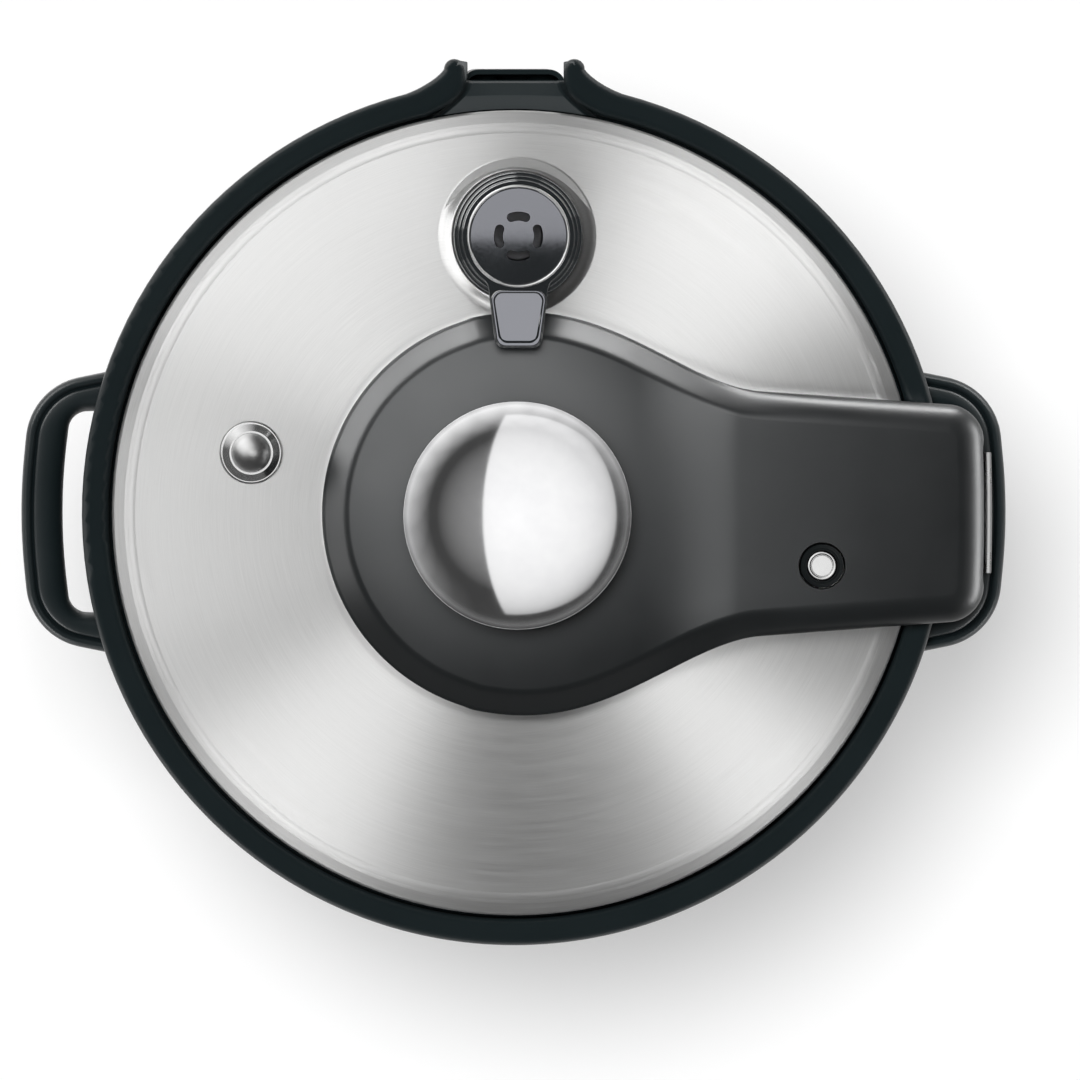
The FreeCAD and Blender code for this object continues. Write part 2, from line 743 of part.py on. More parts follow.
def rim_band():
    p = horn_points()
    m = {key: mirrored(value) for key, value in p.items()}
    band = plan([
        p["start"],
        (p["flare_a"], p["flare_b"], p["outer"]),
        (p["tip"], p["inner"]),
        p["mouth"],
        (p["throat_a"], p["throat_b"], p["throat"]),
        ((0, -RIM_INNER_R), m["throat"]),
        (m["throat_b"], m["throat_a"], m["mouth"]),
        m["inner"],
        (m["tip"], m["outer"]),
        (m["flare_b"], m["flare_a"], m["start"]),
        ((0, -RIM_R), p["start"])], BAND_Z, RIM_TOP_Z)
    return band.makeFillet(RIM_EDGE_R, edges_at(band, RIM_TOP_Z))


def spout_floor():
    floor_z = RIM_TOP_Z - SPOUT_DROP
    half = SPOUT_HALF + HORN_WIDTH / 3
    bend_y = RIM_INNER_R + RIM_BAND / 2
    low_z = BAND_Z - 1
    profile = [(0, low_z), (0, floor_z), (bend_y, floor_z), (RIM_R, floor_z - SPOUT_SLOPE), (RIM_R, low_z)]
    face = face_of(profile, lambda p: Vector(-half, p[0], p[1]))
    chute = face.extrude(Vector(2 * half, 0, 0))
    throat_half = SPOUT_HALF + THROAT_SPAN
    throat = block(-throat_half, throat_half, 0, FAR, low_z, floor_z).common(rod(bend_y, low_z, floor_z))
    return union([chute, throat]).cut(rod(RIM_INNER_R, 0, RIM_TOP_Z))


def top_rim():
    ring = spin([
        (LEDGE_INNER_R, LEDGE_Z), (LEDGE_INNER_R, LEDGE_TOP_Z), (RIM_INNER_R, LEDGE_TOP_Z),
        (RIM_INNER_R, BAND_Z), (RIM_R, BAND_Z), (SKIRT_R, BAND_Z - RIM_UNDERCUT), (SKIRT_R, SKIRT_Z),
        (SKIRT_INNER_R, SKIRT_Z), (SKIRT_INNER_R, LEDGE_Z)])
    rim = union([ring, rim_band(), spout_floor()])
    return rim.cut(handle_screw_tools(SCREW_R + FIT_GAP))


def handle_outline(inset):
    corner_x = HANDLE_X - HANDLE_BOW - inset
    peak_x = HANDLE_X + HANDLE_BOW_TIP - inset
    half = HANDLE_HALF - inset
    corner_half = half - HANDLE_SHOULDER
    r = HANDLE_CORNER_R - inset
    root = SKIRT_R - HANDLE_T
    return rounded([
        (root, -half, 0), (corner_x, -corner_half, r), (peak_x, 0, HANDLE_BOW_R - inset),
        (corner_x, corner_half, r), (root, half, 0)])


def handle_gap_outline():
    corner_x = HANDLE_X - HANDLE_BAR - HANDLE_BOW
    peak_x = HANDLE_X - HANDLE_BAR + HANDLE_BOW_TIP
    corner_half = HANDLE_GAP_HALF - HANDLE_GAP_SHOULDER
    root = SKIRT_R - HANDLE_T
    return rounded([
        (root, -HANDLE_GAP_HALF, 0), (corner_x, -corner_half, HANDLE_GAP_CORNER_R),
        (peak_x, 0, HANDLE_BOW_R), (corner_x, corner_half, HANDLE_GAP_CORNER_R),
        (root, HANDLE_GAP_HALF, 0)])


def handle():
    """The right handle. The left one is its mirror image."""
    bar = plan(handle_outline(0), HANDLE_Z, HANDLE_TOP_Z)
    reach = HANDLE_X - HANDLE_CORNER_R
    outer = [e for e in edges_at(bar, HANDLE_TOP_Z) + edges_at(bar, HANDLE_Z) if e.BoundBox.XMax > reach]
    bar = bar.makeFillet(HANDLE_EDGE_R, outer)
    gap = plan(handle_gap_outline(), HANDLE_Z, HANDLE_TOP_Z)
    bar = bar.cut(gap)
    bar_x = HANDLE_X - HANDLE_BAR
    inner = [e for e in edges_at(bar, HANDLE_TOP_Z)
             if abs(e.BoundBox.Center.y) < HANDLE_GAP_HALF and SKIRT_R < e.BoundBox.XMin < bar_x]
    bar = bar.makeFillet(HANDLE_GRIP_R, inner)
    groove_z = HANDLE_TOP_Z - HANDLE_GROOVE
    groove = plan(handle_outline(HANDLE_LIP), groove_z, HANDLE_TOP_Z)
    groove = groove.cut(plan(handle_outline(HANDLE_LIP + HANDLE_GROOVE), groove_z, HANDLE_TOP_Z))
    bar = bar.cut(groove).cut(rod(SKIRT_R, 0, RIM_TOP_Z))
    return bar.cut([rod_x(SCREW_R, 0, SKIRT_R + HANDLE_SCREW_LENGTH, y, HANDLE_SCREW_Z)
                    for y in (-HANDLE_SCREW_Y, HANDLE_SCREW_Y)])


def left_handle():
    return handle().mirror(CENTRE, AXIS_X)


def right_handle():
    socket = block(BRACKET_X - FIT_GAP, BRACKET_X + BRACKET_T + FIT_GAP, -BRACKET_HALF - FIT_GAP,
                   BRACKET_HALF + FIT_GAP, TONGUE_Z - SLIDE_GAP, HANDLE_TOP_Z)
    return handle().cut(socket)


def handle_screws():
    seat_x = math.sqrt((WRAP_INNER_R - 0.2) ** 2 - (HANDLE_SCREW_Y + SCREW_HEAD_R) ** 2)
    screws = []
    for direction in (1, -1):
        for y in (-HANDLE_SCREW_Y, HANDLE_SCREW_Y):
            one = screw(HANDLE_SCREW_LENGTH)
            one.rotate(CENTRE, AXIS_Y, -90 * direction)
            one.translate(Vector(direction * seat_x, y, HANDLE_SCREW_Z))
            screws.append(one)
    return Part.makeCompound(screws)


def liner():
    top_z = BAYONET_Z
    can = spin([
        (SENSOR_CUP_R + SENSOR_CUP_FLANGE, LINER_Z), (LINER_R, LINER_Z), (LINER_R, top_z - LINER_WALL),
        (BAYONET_R, top_z - LINER_WALL), (BAYONET_R, top_z), (LINER_INNER_R, top_z),
        (LINER_INNER_R, LINER_Z + LINER_WALL), (SENSOR_CUP_R + SENSOR_CUP_FLANGE, LINER_Z + LINER_WALL)])
    for angle in TERMINAL_ANGLES:
        x, y = polar(ELEMENT_RING_R, angle)
        can = can.cut(rod(TERMINAL_R + 2, LINER_Z, LINER_Z + LINER_WALL, x, y))
    return can


def sector(outer_r, inner_r, angle, sweep, z0, z1):
    """A piece of a flat ring, centred on an angle."""
    face = face_of([polar(inner_r, -sweep / 2), polar(outer_r, -sweep / 2),
                    (polar(outer_r, 0), polar(outer_r, sweep / 2)), polar(inner_r, sweep / 2),
                    (polar(inner_r, 0), polar(inner_r, -sweep / 2))], lambda p: Vector(p[0], p[1], z0))
    return turned(face.extrude(Vector(0, 0, z1 - z0)), angle)


def bayonet_ring():
    ring = tube(BAYONET_R, LINER_INNER_R, BAYONET_Z, LEDGE_Z)
    lugs = [sector(LINER_INNER_R + 1, BAYONET_LUG_R, 360 / LUG_COUNT * i, LUG_ANGLE, BAYONET_Z, LEDGE_Z)
            for i in range(LUG_COUNT)]
    return union([ring] + lugs)


# Heater and pot

def heating_plate():
    plate = round_rings(rod(HEATER_R, HEATER_Z, HEATER_TOP_Z), HEATER_EDGE_R, [(HEATER_R, HEATER_TOP_Z)])
    element = Part.makeTorus(ELEMENT_RING_R, ELEMENT_SECTION_R, Vector(0, 0, HEATER_Z))
    leg_places = [polar(HEATER_LEG_PCR, 30 + 360 / HEATER_LEGS * i) for i in range(HEATER_LEGS)]
    legs = [rod(HEATER_LEG_R, LINER_Z + LINER_WALL, HEATER_Z + 1, x, y) for x, y in leg_places]
    pin_z = HEATER_Z - ELEMENT_SECTION_R - TERMINAL_LENGTH
    pin_places = [polar(ELEMENT_RING_R, angle) for angle in TERMINAL_ANGLES]
    pins = [rod(TERMINAL_R, pin_z, HEATER_Z, x, y) for x, y in pin_places]
    return union([plate, element] + legs + pins).cut(rod(SENSOR_R + SLIDE_GAP, 0, HEATER_TOP_Z))


def heater_leads():
    """Two wires from the heater's terminals down to the power board."""
    leads = []
    for angle in TERMINAL_ANGLES:
        x, y = polar(ELEMENT_RING_R, angle)
        top_z = HEATER_Z - ELEMENT_SECTION_R - TERMINAL_LENGTH
        path = Part.BSplineCurve()
        path.interpolate([Vector(x, y, top_z), Vector(x, y + 1, top_z - 9), Vector(x, y + 7, POWER_TOP_Z + 7),
                          Vector(x, y + 8, POWER_TOP_Z)])
        wire = Part.Wire([path.toShape()])
        section = Part.Wire([Part.makeCircle(LEAD_R, Vector(x, y, top_z), path.tangent(0)[0])])
        lead = wire.makePipeShell([section], True, False)
        leads.append(lead.common(block(-FAR, FAR, -FAR, FAR, POWER_TOP_Z, top_z)))
    return Part.makeCompound(leads)


def thermal_fuse():
    z = HEATER_Z - FUSE_R - 1
    body = rod_x(FUSE_R, -FUSE_LENGTH / 2, FUSE_LENGTH / 2, FUSE_Y, z)
    saddle = block(-FUSE_LENGTH / 4, FUSE_LENGTH / 4, FUSE_Y - FUSE_R - 1, FUSE_Y + FUSE_R + 1, z, HEATER_Z)
    return union([body, saddle])


def sensor_cup():
    inner_r = SENSOR_R + SLIDE_GAP
    floor_z = SENSOR_CUP_Z + CUP_WALL_T
    lip_z = HEATER_Z - CUP_WALL_T
    stem_r = SENSOR_STEM_R + SHAFT_GAP
    flange_r = SENSOR_CUP_R + SENSOR_CUP_FLANGE - SLIDE_GAP
    return spin([
        (stem_r, SENSOR_CUP_Z), (SENSOR_CUP_R, SENSOR_CUP_Z), (SENSOR_CUP_R, lip_z), (flange_r, lip_z),
        (flange_r, HEATER_Z), (inner_r, HEATER_Z), (inner_r, floor_z), (stem_r, floor_z)])


def sensor_plunger():
    head = rod(SENSOR_R, HEATER_TOP_Z - SENSOR_HEAD_T, HEATER_TOP_Z)
    head = round_rings(head, 0.6, [(SENSOR_R, HEATER_TOP_Z)])
    stem = rod(SENSOR_STEM_R, SENSOR_CUP_Z - SENSOR_TRAVEL, HEATER_TOP_Z - SENSOR_HEAD_T)
    return union([head, stem])


def sensor_spring():
    bottom = SENSOR_CUP_Z + CUP_WALL_T + SPRING_WIRE_R
    top = HEATER_TOP_Z - SENSOR_HEAD_T - SPRING_WIRE_R
    steps = SPRING_TURNS * SPRING_STEPS
    sections = []
    for k in range(steps + 1):
        height = bottom + (top - bottom) * k / steps
        section = Part.Wire([Part.makeCircle(SPRING_WIRE_R, Vector(SPRING_R, 0, height), AXIS_Y)])
        section.rotate(CENTRE, UP, 360 * k / SPRING_STEPS)
        sections.append(section)
    return Part.makeLoft(sections, True, True)


def inner_pot():
    floor_z = HEATER_TOP_Z
    top_z = FLANGE_TOP_Z
    lip_z = top_z - POT_WALL
    outer_k = POT_CORNER_R * (1 - math.sqrt(0.5))
    inner_r = POT_CORNER_R - POT_WALL
    inner_k = inner_r * (1 - math.sqrt(0.5))
    pot = spin([
        (0, floor_z), (POT_R - POT_CORNER_R, floor_z),
        ((POT_R - outer_k, floor_z + outer_k), (POT_R, floor_z + POT_CORNER_R)),
        (POT_R, lip_z), (FLANGE_R, lip_z), (FLANGE_R, top_z), (POT_INNER_R, top_z),
        (POT_INNER_R, floor_z + POT_CORNER_R),
        ((POT_INNER_R - inner_k, floor_z + POT_WALL + inner_k), (POT_R - POT_CORNER_R, floor_z + POT_WALL)),
        (0, floor_z + POT_WALL)])
    return round_rings(pot, POT_WALL * 0.8, [(POT_INNER_R, top_z)])


# Controls

def button_sets():
    """Each button's name, its angle round the body and its height."""
    upper = PANEL_Z + BUTTON_UPPER
    lower = PANEL_Z + BUTTON_LOWER
    return (("keep_warm_button", -BUTTON_ANGLE, upper), ("steam_button", BUTTON_ANGLE, upper),
            ("start_button", -BUTTON_ANGLE, lower), ("cancel_button", BUTTON_ANGLE, lower))


def board_post_places():
    z0 = PANEL_Z + BOARD_MARGIN + BOARD_POST_R + 1
    z1 = PANEL_Z + PANEL_HEIGHT - BOARD_MARGIN - BOARD_POST_R - 1
    return [(x, z) for x in (-BOARD_POST_X, BOARD_POST_X) for z in (z0, z1)]


def control_panel():
    shell = tube(PANEL_R, PANEL_INNER_R, PANEL_Z, PANEL_Z + PANEL_HEIGHT)
    panel = shell.common(round_box(PANEL_HALF, PANEL_Z, PANEL_Z + PANEL_HEIGHT, PANEL_CORNER_R, -FAR, 0))
    window = round_box(WINDOW_HALF, WINDOW_Z, WINDOW_Z + WINDOW_HEIGHT, WINDOW_CORNER_R, -FAR, 0)
    seat = rod_y(DIAL_R + 1, -FAR, -(PANEL_R - DIAL_SEAT), 0, DIAL_Z)
    bore = rod_y(DIAL_SHAFT_R + SLIDE_GAP, -FAR, 0, 0, DIAL_Z)
    panel = panel.cut([window, seat, bore])
    posts = [rod_y(BOARD_POST_R, -FAR, BOARD_Y, x, z) for x, z in board_post_places()]
    posts = [post.common(rod(PANEL_INNER_R + 1, 0, RIM_TOP_Z)) for post in posts]
    panel = union([panel] + posts)
    for name, angle, z in button_sets():
        panel = panel.cut(turned(rod_y(BUTTON_R + SLIDE_GAP, -FAR, 0, 0, z), angle))
    return panel


def display_window():
    shell = tube(PANEL_R, PANEL_INNER_R, WINDOW_Z, WINDOW_Z + WINDOW_HEIGHT)
    half = WINDOW_HALF - FIT_GAP
    corner_r = WINDOW_CORNER_R - FIT_GAP
    shape = round_box(half, WINDOW_Z + FIT_GAP, WINDOW_Z + WINDOW_HEIGHT - FIT_GAP, corner_r, -FAR, 0)
    return shell.common(shape)


def control_board():
    z0 = PANEL_Z + BOARD_MARGIN
    z1 = PANEL_Z + PANEL_HEIGHT - BOARD_MARGIN
    return block(-BOARD_HALF, BOARD_HALF, BOARD_Y, BOARD_Y + BOARD_T, z0, z1)


def display_module():
    frame_z = WINDOW_Z + 4
    frame_top = WINDOW_Z + WINDOW_HEIGHT - 10
    frame = block(-DISPLAY_HALF, DISPLAY_HALF, BOARD_Y - DISPLAY_T, BOARD_Y, frame_z, frame_top)
    glass = block(-DISPLAY_HALF + 2, DISPLAY_HALF - 2, BOARD_Y - DISPLAY_T, BOARD_Y - DISPLAY_T + 0.5,
                  frame_z + 2, frame_top - 2)
    return frame.cut(glass)


def dial_encoder():
    half = ENCODER_SIDE / 2
    body = block(-half, half, BOARD_Y - ENCODER_T, BOARD_Y, DIAL_Z - half, DIAL_Z + half)
    return body.cut(rod_y(DIAL_SHAFT_R + SHAFT_GAP, -FAR, BOARD_Y - 1, 0, DIAL_Z))


def dial():
    back_y = -(PANEL_R - DIAL_SEAT + SLIDE_GAP)
    front_y = -(PANEL_R + DIAL_PROUD)
    disc = rod_y(DIAL_R, front_y, back_y, 0, DIAL_Z)
    rim = [e for e in disc.Edges if abs(e.BoundBox.YMin - front_y) < 1e-3 and e.BoundBox.YLength < 1e-3]
    disc = disc.makeFillet(1.2, rim)
    dish = rod_y(DIAL_R - 4, front_y, front_y + 0.8, 0, DIAL_Z)
    disc = disc.cut(dish)
    flutes = []
    for index in range(DIAL_FLUTES):
        x, z = polar(DIAL_R + DIAL_FLUTE_R * 0.4, 360 / DIAL_FLUTES * index)
        flutes.append(rod_y(DIAL_FLUTE_R, front_y, back_y, x, DIAL_Z + z))
    shaft = rod_y(DIAL_SHAFT_R, back_y, BOARD_Y - 1 - SLIDE_GAP, 0, DIAL_Z)
    return union([disc.cut(flutes), shaft])


def button(angle, z):
    front_y = -(PANEL_R + BUTTON_PROUD)
    flange_y = -(PANEL_INNER_R - 0.5)
    cap = rod_y(BUTTON_R, front_y, flange_y, 0, z)
    face = [e for e in cap.Edges if abs(e.BoundBox.YMin - front_y) < 1e-3 and e.BoundBox.YLength < 1e-3]
    cap = cap.makeFillet(0.6, face)
    flange = rod_y(BUTTON_R + BUTTON_FLANGE, flange_y, flange_y + BUTTON_FLANGE_T, 0, z)
    return turned(union([cap, flange]), angle)


# Power

def power_board():
    y0 = POWER_Y - POWER_DEPTH / 2
    return block(-POWER_HALF, POWER_HALF, y0, y0 + POWER_DEPTH, POWER_Z, POWER_TOP_Z)


def transformer():
    width, depth, height = TRANSFORMER
    core = block(TRANSFORMER_X - width / 2, TRANSFORMER_X + width / 2,
                 POWER_Y - depth / 3, POWER_Y + depth / 3, POWER_TOP_Z, POWER_TOP_Z + height)
    coil = block(TRANSFORMER_X - width / 3, TRANSFORMER_X + width / 3,
                 POWER_Y - depth / 2, POWER_Y + depth / 2, POWER_TOP_Z + 2, POWER_TOP_Z + height - 2)
    coil = coil.makeFillet(2.5, uprights(coil, -FAR, FAR))
    return union([core, coil])


def mains_relay():
    width, depth, height = RELAY
    case = block(RELAY_X - width / 2, RELAY_X + width / 2, POWER_Y + 2, POWER_Y + 2 + depth,
                 POWER_TOP_Z, POWER_TOP_Z + height)
    return case.makeFillet(1.0, edges_at(case, POWER_TOP_Z + height))


def mains_inlet():
    front = INLET_FACE_Y
    back = front - INLET_DEPTH
    body = inlet_hole(0).common(block(-FAR, FAR, back, front, 0, FAR))
    body = body.makeFillet(INLET_EDGE_R, [e for e in body.Edges if e.BoundBox.YMin > front - 1e-3])
    half = SOCKET_WIDTH / 2
    z0 = INLET_Z - SOCKET_HEIGHT / 2
    z1 = INLET_Z + SOCKET_HEIGHT / 2
    corners = [(-half, z0, 2), (half, z0, 2), (half, z1 - 5, 2), (half - 5, z1, 2), (-half + 5, z1, 2),
               (-half, z1 - 5, 2)]
    floor = front - SOCKET_DEPTH
    socket = side(rounded(corners), floor, front)
    pins = [block(x - PIN_WIDTH / 2, x + PIN_WIDTH / 2, floor - 1, floor + PIN_LENGTH,
                  INLET_Z + z - PIN_HEIGHT / 2, INLET_Z + z + PIN_HEIGHT / 2) for x, z in SOCKET_PINS]
    return union([body.cut(socket)] + pins)


# Condensation cup

def cup_bracket():
    plate = block(-BRACKET_PLATE_HALF, BRACKET_PLATE_HALF, 0, CUP_BACK_Y - SLIDE_GAP,
                  PLATE_TOP_Z - BRACKET_PLATE_HEIGHT, PLATE_TOP_Z)
    plate = plate.cut(rod(WRAP_R, 0, FAR))
    pegs = [rod_y(PEG_R, CUP_BACK_Y - 1, CUP_BACK_Y + PEG_LENGTH, x, PEG_Z) for x in (-PEG_X, PEG_X)]
    return union([plate] + pegs)


def cup_outline(inset):
    half = CUP_HALF - inset
    back = CUP_BACK_Y + inset
    front = CUP_FRONT_Y - inset
    r = CUP_CORNER_R - inset
    back_r = CUP_BACK_CORNER_R - inset
    return rounded([(-half, back, back_r), (half, back, back_r), (half, front, r), (-half, front, r)])


def condensation_cup():
    cup = plan(cup_outline(0), CUP_Z, CUP_TOP_Z)
    cup = cup.makeFillet(CUP_EDGE_R, edges_at(cup, CUP_Z))
    hollow = plan(cup_outline(CUP_WALL), CUP_Z + CUP_WALL, CUP_TOP_Z)
    cup = cup.cut(hollow)
    boss_y = CUP_BACK_Y + CUP_WALL + PEG_LENGTH
    bosses = [rod_y(PEG_BOSS_R, CUP_BACK_Y, boss_y, x, PEG_Z) for x in (-PEG_X, PEG_X)]
    cup = union([cup] + bosses)
    return cup.cut([rod_y(PEG_R + SHAFT_GAP, CUP_BACK_Y, CUP_BACK_Y + PEG_LENGTH + SLIDE_GAP, x, PEG_Z)
                    for x in (-PEG_X, PEG_X)])


# Hinge

def hinge_bracket():
    foot_z = HANDLE_TOP_Z + SLIDE_GAP
    edge_x = BRACKET_X + BRACKET_T
    web = block(BRACKET_X, edge_x, -BRACKET_HALF, BRACKET_HALF, TONGUE_Z, BRACKET_TOP_Z)
    ears = []
    for y0 in (-BRACKET_HALF, EAR_Y):
        plate = side([(HINGE_X - EAR_R, foot_z), (edge_x, foot_z), (edge_x, BRACKET_TOP_Z),
                      (HINGE_X + EAR_R, HINGE_Z), (HINGE_X - EAR_R, HINGE_Z)], y0, y0 + EAR_T)
        ears.append(plate)
        ears.append(rod_y(EAR_R, y0, y0 + EAR_T, HINGE_X, HINGE_Z))
    bracket = union([web] + ears)
    return bracket.cut(rod_y(HINGE_PIN_R, -FAR, FAR, HINGE_X, HINGE_Z))


def hinge_pin():
    return rod_y(HINGE_PIN_R, -BRACKET_HALF, BRACKET_HALF, HINGE_X, HINGE_Z)


# Lid

def lid_z(distance):
    return SPHERE_Z + math.sqrt(CROWN_R ** 2 - distance ** 2)


def lid_envelope(offset, low_z):
    """Everything under the lid's domed surface, moved out by an offset."""
    bevel = (BEVEL_R + 0.4 * offset, BEVEL_Z + offset)
    crown_r = CROWN_R + offset
    half_r = bevel[0] / 2
    return spin([
        (0, low_z), (LID_R + offset, low_z), (LID_R + offset, LID_EDGE_Z + 0.4 * offset), bevel,
        ((half_r, SPHERE_Z + math.sqrt(crown_r ** 2 - half_r ** 2)), (0, CROWN_Z + offset))])


def landing_z():
    return lid_z(math.hypot(VALVE_X, VALVE_Y)) - LANDING_DROP


def frame_screw_places():
    return [(x, y) for x in (-FRAME_SCREW_X, FRAME_SCREW_X) for y in (-FRAME_SCREW_Y, FRAME_SCREW_Y)]


def lid_cover():
    low_z = LID_EDGE_Z - LID_SKIRT
    cover = lid_envelope(0, low_z)
    cover = round_rings(cover, LID_BEVEL_R, [(BEVEL_R, BEVEL_Z)])
    cover = round_rings(cover, LID_EDGE_R, [(LID_R, LID_EDGE_Z)])
    inside = lid_envelope(-LID_SHEET, low_z)
    cover = cover.cut(inside)
    seat_z = landing_z()
    outer_r = LANDING_R + LID_SHEET
    below = seat_z - LID_SHEET
    well = tube(outer_r, LANDING_R, below, CROWN_Z, VALVE_X, VALVE_Y).common(lid_envelope(0, low_z))
    raised = tube(outer_r, LANDING_R, low_z, seat_z, VALVE_X, VALVE_Y).cut(inside)
    seat = rod(outer_r, below, seat_z, VALVE_X, VALVE_Y)
    cover = union([cover.cut(rod(LANDING_R, low_z, CROWN_Z, VALVE_X, VALVE_Y)), well, raised, seat])
    cover = cover.cut(rod(BUSH_R + FIT_GAP, 0, FAR))
    cover = cover.cut(rod(PIPE_R + FIT_GAP, 0, FAR, VALVE_X, VALVE_Y))
    cover = cover.cut(rod(SAFETY_R + FIT_GAP, 0, FAR, SAFETY_X, SAFETY_Y))
    cover = cover.cut(rod(FLOAT_HEAD_R, 0, FAR, FLOAT_X, FLOAT_Y))
    return cover.cut([rod(SCREW_R + FIT_GAP, 0, FAR, x, y) for x, y in frame_screw_places()])


def roof_cut(inset):
    """Everything above the arm's top, which is level over the dome and falls towards the hinge."""
    top_z = ARM_TOP_Z - inset
    r = SLOPE_R - inset
    run = SLOPE_RUN + 10
    end = (ARM_SLOPE_X + run, top_z - r + math.sqrt(r ** 2 - run ** 2))
    middle = (ARM_SLOPE_X + run / 2, top_z - r + math.sqrt(r ** 2 - run ** 2 / 4))
    return side([(-FAR, top_z), (ARM_SLOPE_X, top_z), (middle, end), (end[0], FAR), (-FAR, FAR)], -FAR, FAR)


def arm_block(inset, low_z):
    """The arm's outside, or its inside at a wall thickness."""
    dome = rod(DOME_R - inset, low_z, ARM_TOP_Z + 1, DOME_X)
    end_x = ARM_END_X - ARM_END_BOW - inset
    peak_x = ARM_END_X + ARM_BOW_TIP - inset
    root = ARM_HALF_ROOT - inset
    end = ARM_HALF_END - inset
    corner_r = ARM_CORNER_R - inset
    arm = plan(rounded([(DOME_X, -root, 0), (end_x, -end, corner_r), (peak_x, 0, ARM_BOW_R),
                        (end_x, end, corner_r), (DOME_X, root, 0)]), low_z, ARM_TOP_Z + 1)
    body = union([dome, arm])
    necks = [e for e in uprights(body, DOME_X + 10, DOME_X + DOME_R) if abs(e.BoundBox.Center.y) > 10]
    body = body.makeFillet(ARM_NECK_R + inset, necks)
    return body.cut(roof_cut(inset))


def arm_top_edges(body):
    """The edges all round the arm's top face."""
    picked = []
    for edge in body.Edges:
        box = edge.BoundBox
        is_level_line = box.XLength < 1e-3 and abs(box.XMin - ARM_SLOPE_X) < 1e-3
        is_upright = box.XLength < 1e-3 and box.YLength < 1e-3
        if box.ZMin > ARM_TOP_Z - ARM_END_DROP - 2 and not is_level_line and not is_upright:
            picked.append(edge)
    return picked


def arm_window(gap):
    """The window in the arm's end, where the hinge bracket stands."""
    half = ARM_WINDOW_HALF + gap
    top_z = HINGE_Z + ARM_WINDOW_RISE
    low_z = HINGE_Z - 2 * ARM_HEEL_R
    corners = [(-half, low_z, 0), (half, low_z, 0), (half, top_z, ARM_WINDOW_R), (-half, top_z, ARM_WINDOW_R)]
    face = face_of(rounded(corners), lambda p: Vector(HINGE_X - ARM_HEEL_R - 1, p[0], p[1]))
    return face.extrude(Vector(FAR, 0, 0))


def arm_cover():
    low_z = HINGE_Z - ARM_HEEL_R
    body = arm_block(0, low_z)
    body = body.makeFillet(ARM_EDGE_R, arm_top_edges(body))
    body = body.cut(arm_block(ARM_WALL, low_z))
    over_rim_z = RIM_TOP_Z + ARM_OVER_RIM
    heel_x = HINGE_X - ARM_HEEL_R
    body = body.cut(block(-FAR, heel_x, -FAR, FAR, low_z - 1, over_rim_z))
    below = block(heel_x, FAR, -FAR, FAR, low_z - 1, HINGE_Z)
    body = body.cut(below.cut(rod_y(ARM_HEEL_R, -FAR, FAR, HINGE_X, HINGE_Z)))
    body = body.cut(lid_envelope(SLIDE_GAP, low_z - 10))
    bosses = []
    for x, y in BOSS_PLACES:
        seat_z = SPHERE_Z + math.sqrt((CROWN_R + FRAME_SEAT + FRAME_T) ** 2 - max(0, abs(x) - BOSS_R) ** 2)
        bosses.append(rod(BOSS_R, seat_z, FAR, x, y).cut(roof_cut(ARM_WALL / 2)))
    body = union([body] + bosses)
    body = body.cut(arm_window(0))
    body = body.cut(rod(SHAFT_R + 1, 0, FAR))
    return body.cut(rod(FLOAT_RING_R + FIT_GAP, 0, FAR, FLOAT_X, FLOAT_Y))


def arm_frame():
    axis_point = Vector(0, -FRAME_HALF, SPHERE_Z)
    low_r = CROWN_R + FRAME_SEAT
    skin = Part.makeCylinder(low_r + FRAME_T, 2 * FRAME_HALF, axis_point, AXIS_Y)
    skin = skin.cut(Part.makeCylinder(low_r, 2 * FRAME_HALF, axis_point, AXIS_Y))
    r = FRAME_CORNER_R
    strap = plan(rounded([(-FRAME_BACK, -FRAME_HALF, r), (BEVEL_R, -FRAME_HALF, r), (BEVEL_R, FRAME_HALF, r),
                          (-FRAME_BACK, FRAME_HALF, r)]), BEVEL_Z - 5, CROWN_Z + 10)
    strap = strap.common(skin)
    plate_top = HINGE_Z + KNUCKLE_R
    plate = block(BEVEL_R - 4, HINGE_X, -KNUCKLE_HALF, KNUCKLE_HALF, plate_top - FRAME_T, plate_top)
    knuckle = rod_y(KNUCKLE_R, -KNUCKLE_HALF, KNUCKLE_HALF, HINGE_X, HINGE_Z)
    frame = union([strap, plate, knuckle])
    frame = frame.cut(rod_y(HINGE_PIN_R + SHAFT_GAP, -FAR, FAR, HINGE_X, HINGE_Z))
    frame = frame.cut(rod(BUSH_R + FIT_GAP, 0, FAR))
    frame = frame.cut(rod(FLOAT_HEAD_R + 1, 0, FAR, FLOAT_X, FLOAT_Y))
    return frame.cut([rod(SCREW_R + FIT_GAP, 0, FAR, x, y) for x, y in frame_screw_places()])


def frame_screws():
    seat_z = SPHERE_Z + CROWN_R + FRAME_SEAT + FRAME_T - 0.4
    screws = []
    for x, y in frame_screw_places():
        one = screw(FRAME_SCREW_LENGTH)
        one.translate(Vector(x, y, seat_z))
        screws.append(one)
    return Part.makeCompound(screws)


def pressure_lid():
    plate = rod(GASKET_R, PRESSURE_LID_Z, PRESSURE_LID_TOP_Z)
    plate = round_rings(plate, 0.8, [(GASKET_R, PRESSURE_LID_TOP_Z)])
    plate = plate.cut(rod(PIPE_R + FIT_GAP, 0, FAR, VALVE_X, VALVE_Y))
    plate = plate.cut(rod(SAFETY_PIN_R + SLIDE_GAP, 0, FAR, SAFETY_X, SAFETY_Y))
    return plate.cut(rod(FLOAT_STEM_R + SLIDE_GAP, 0, FAR, FLOAT_X, FLOAT_Y))


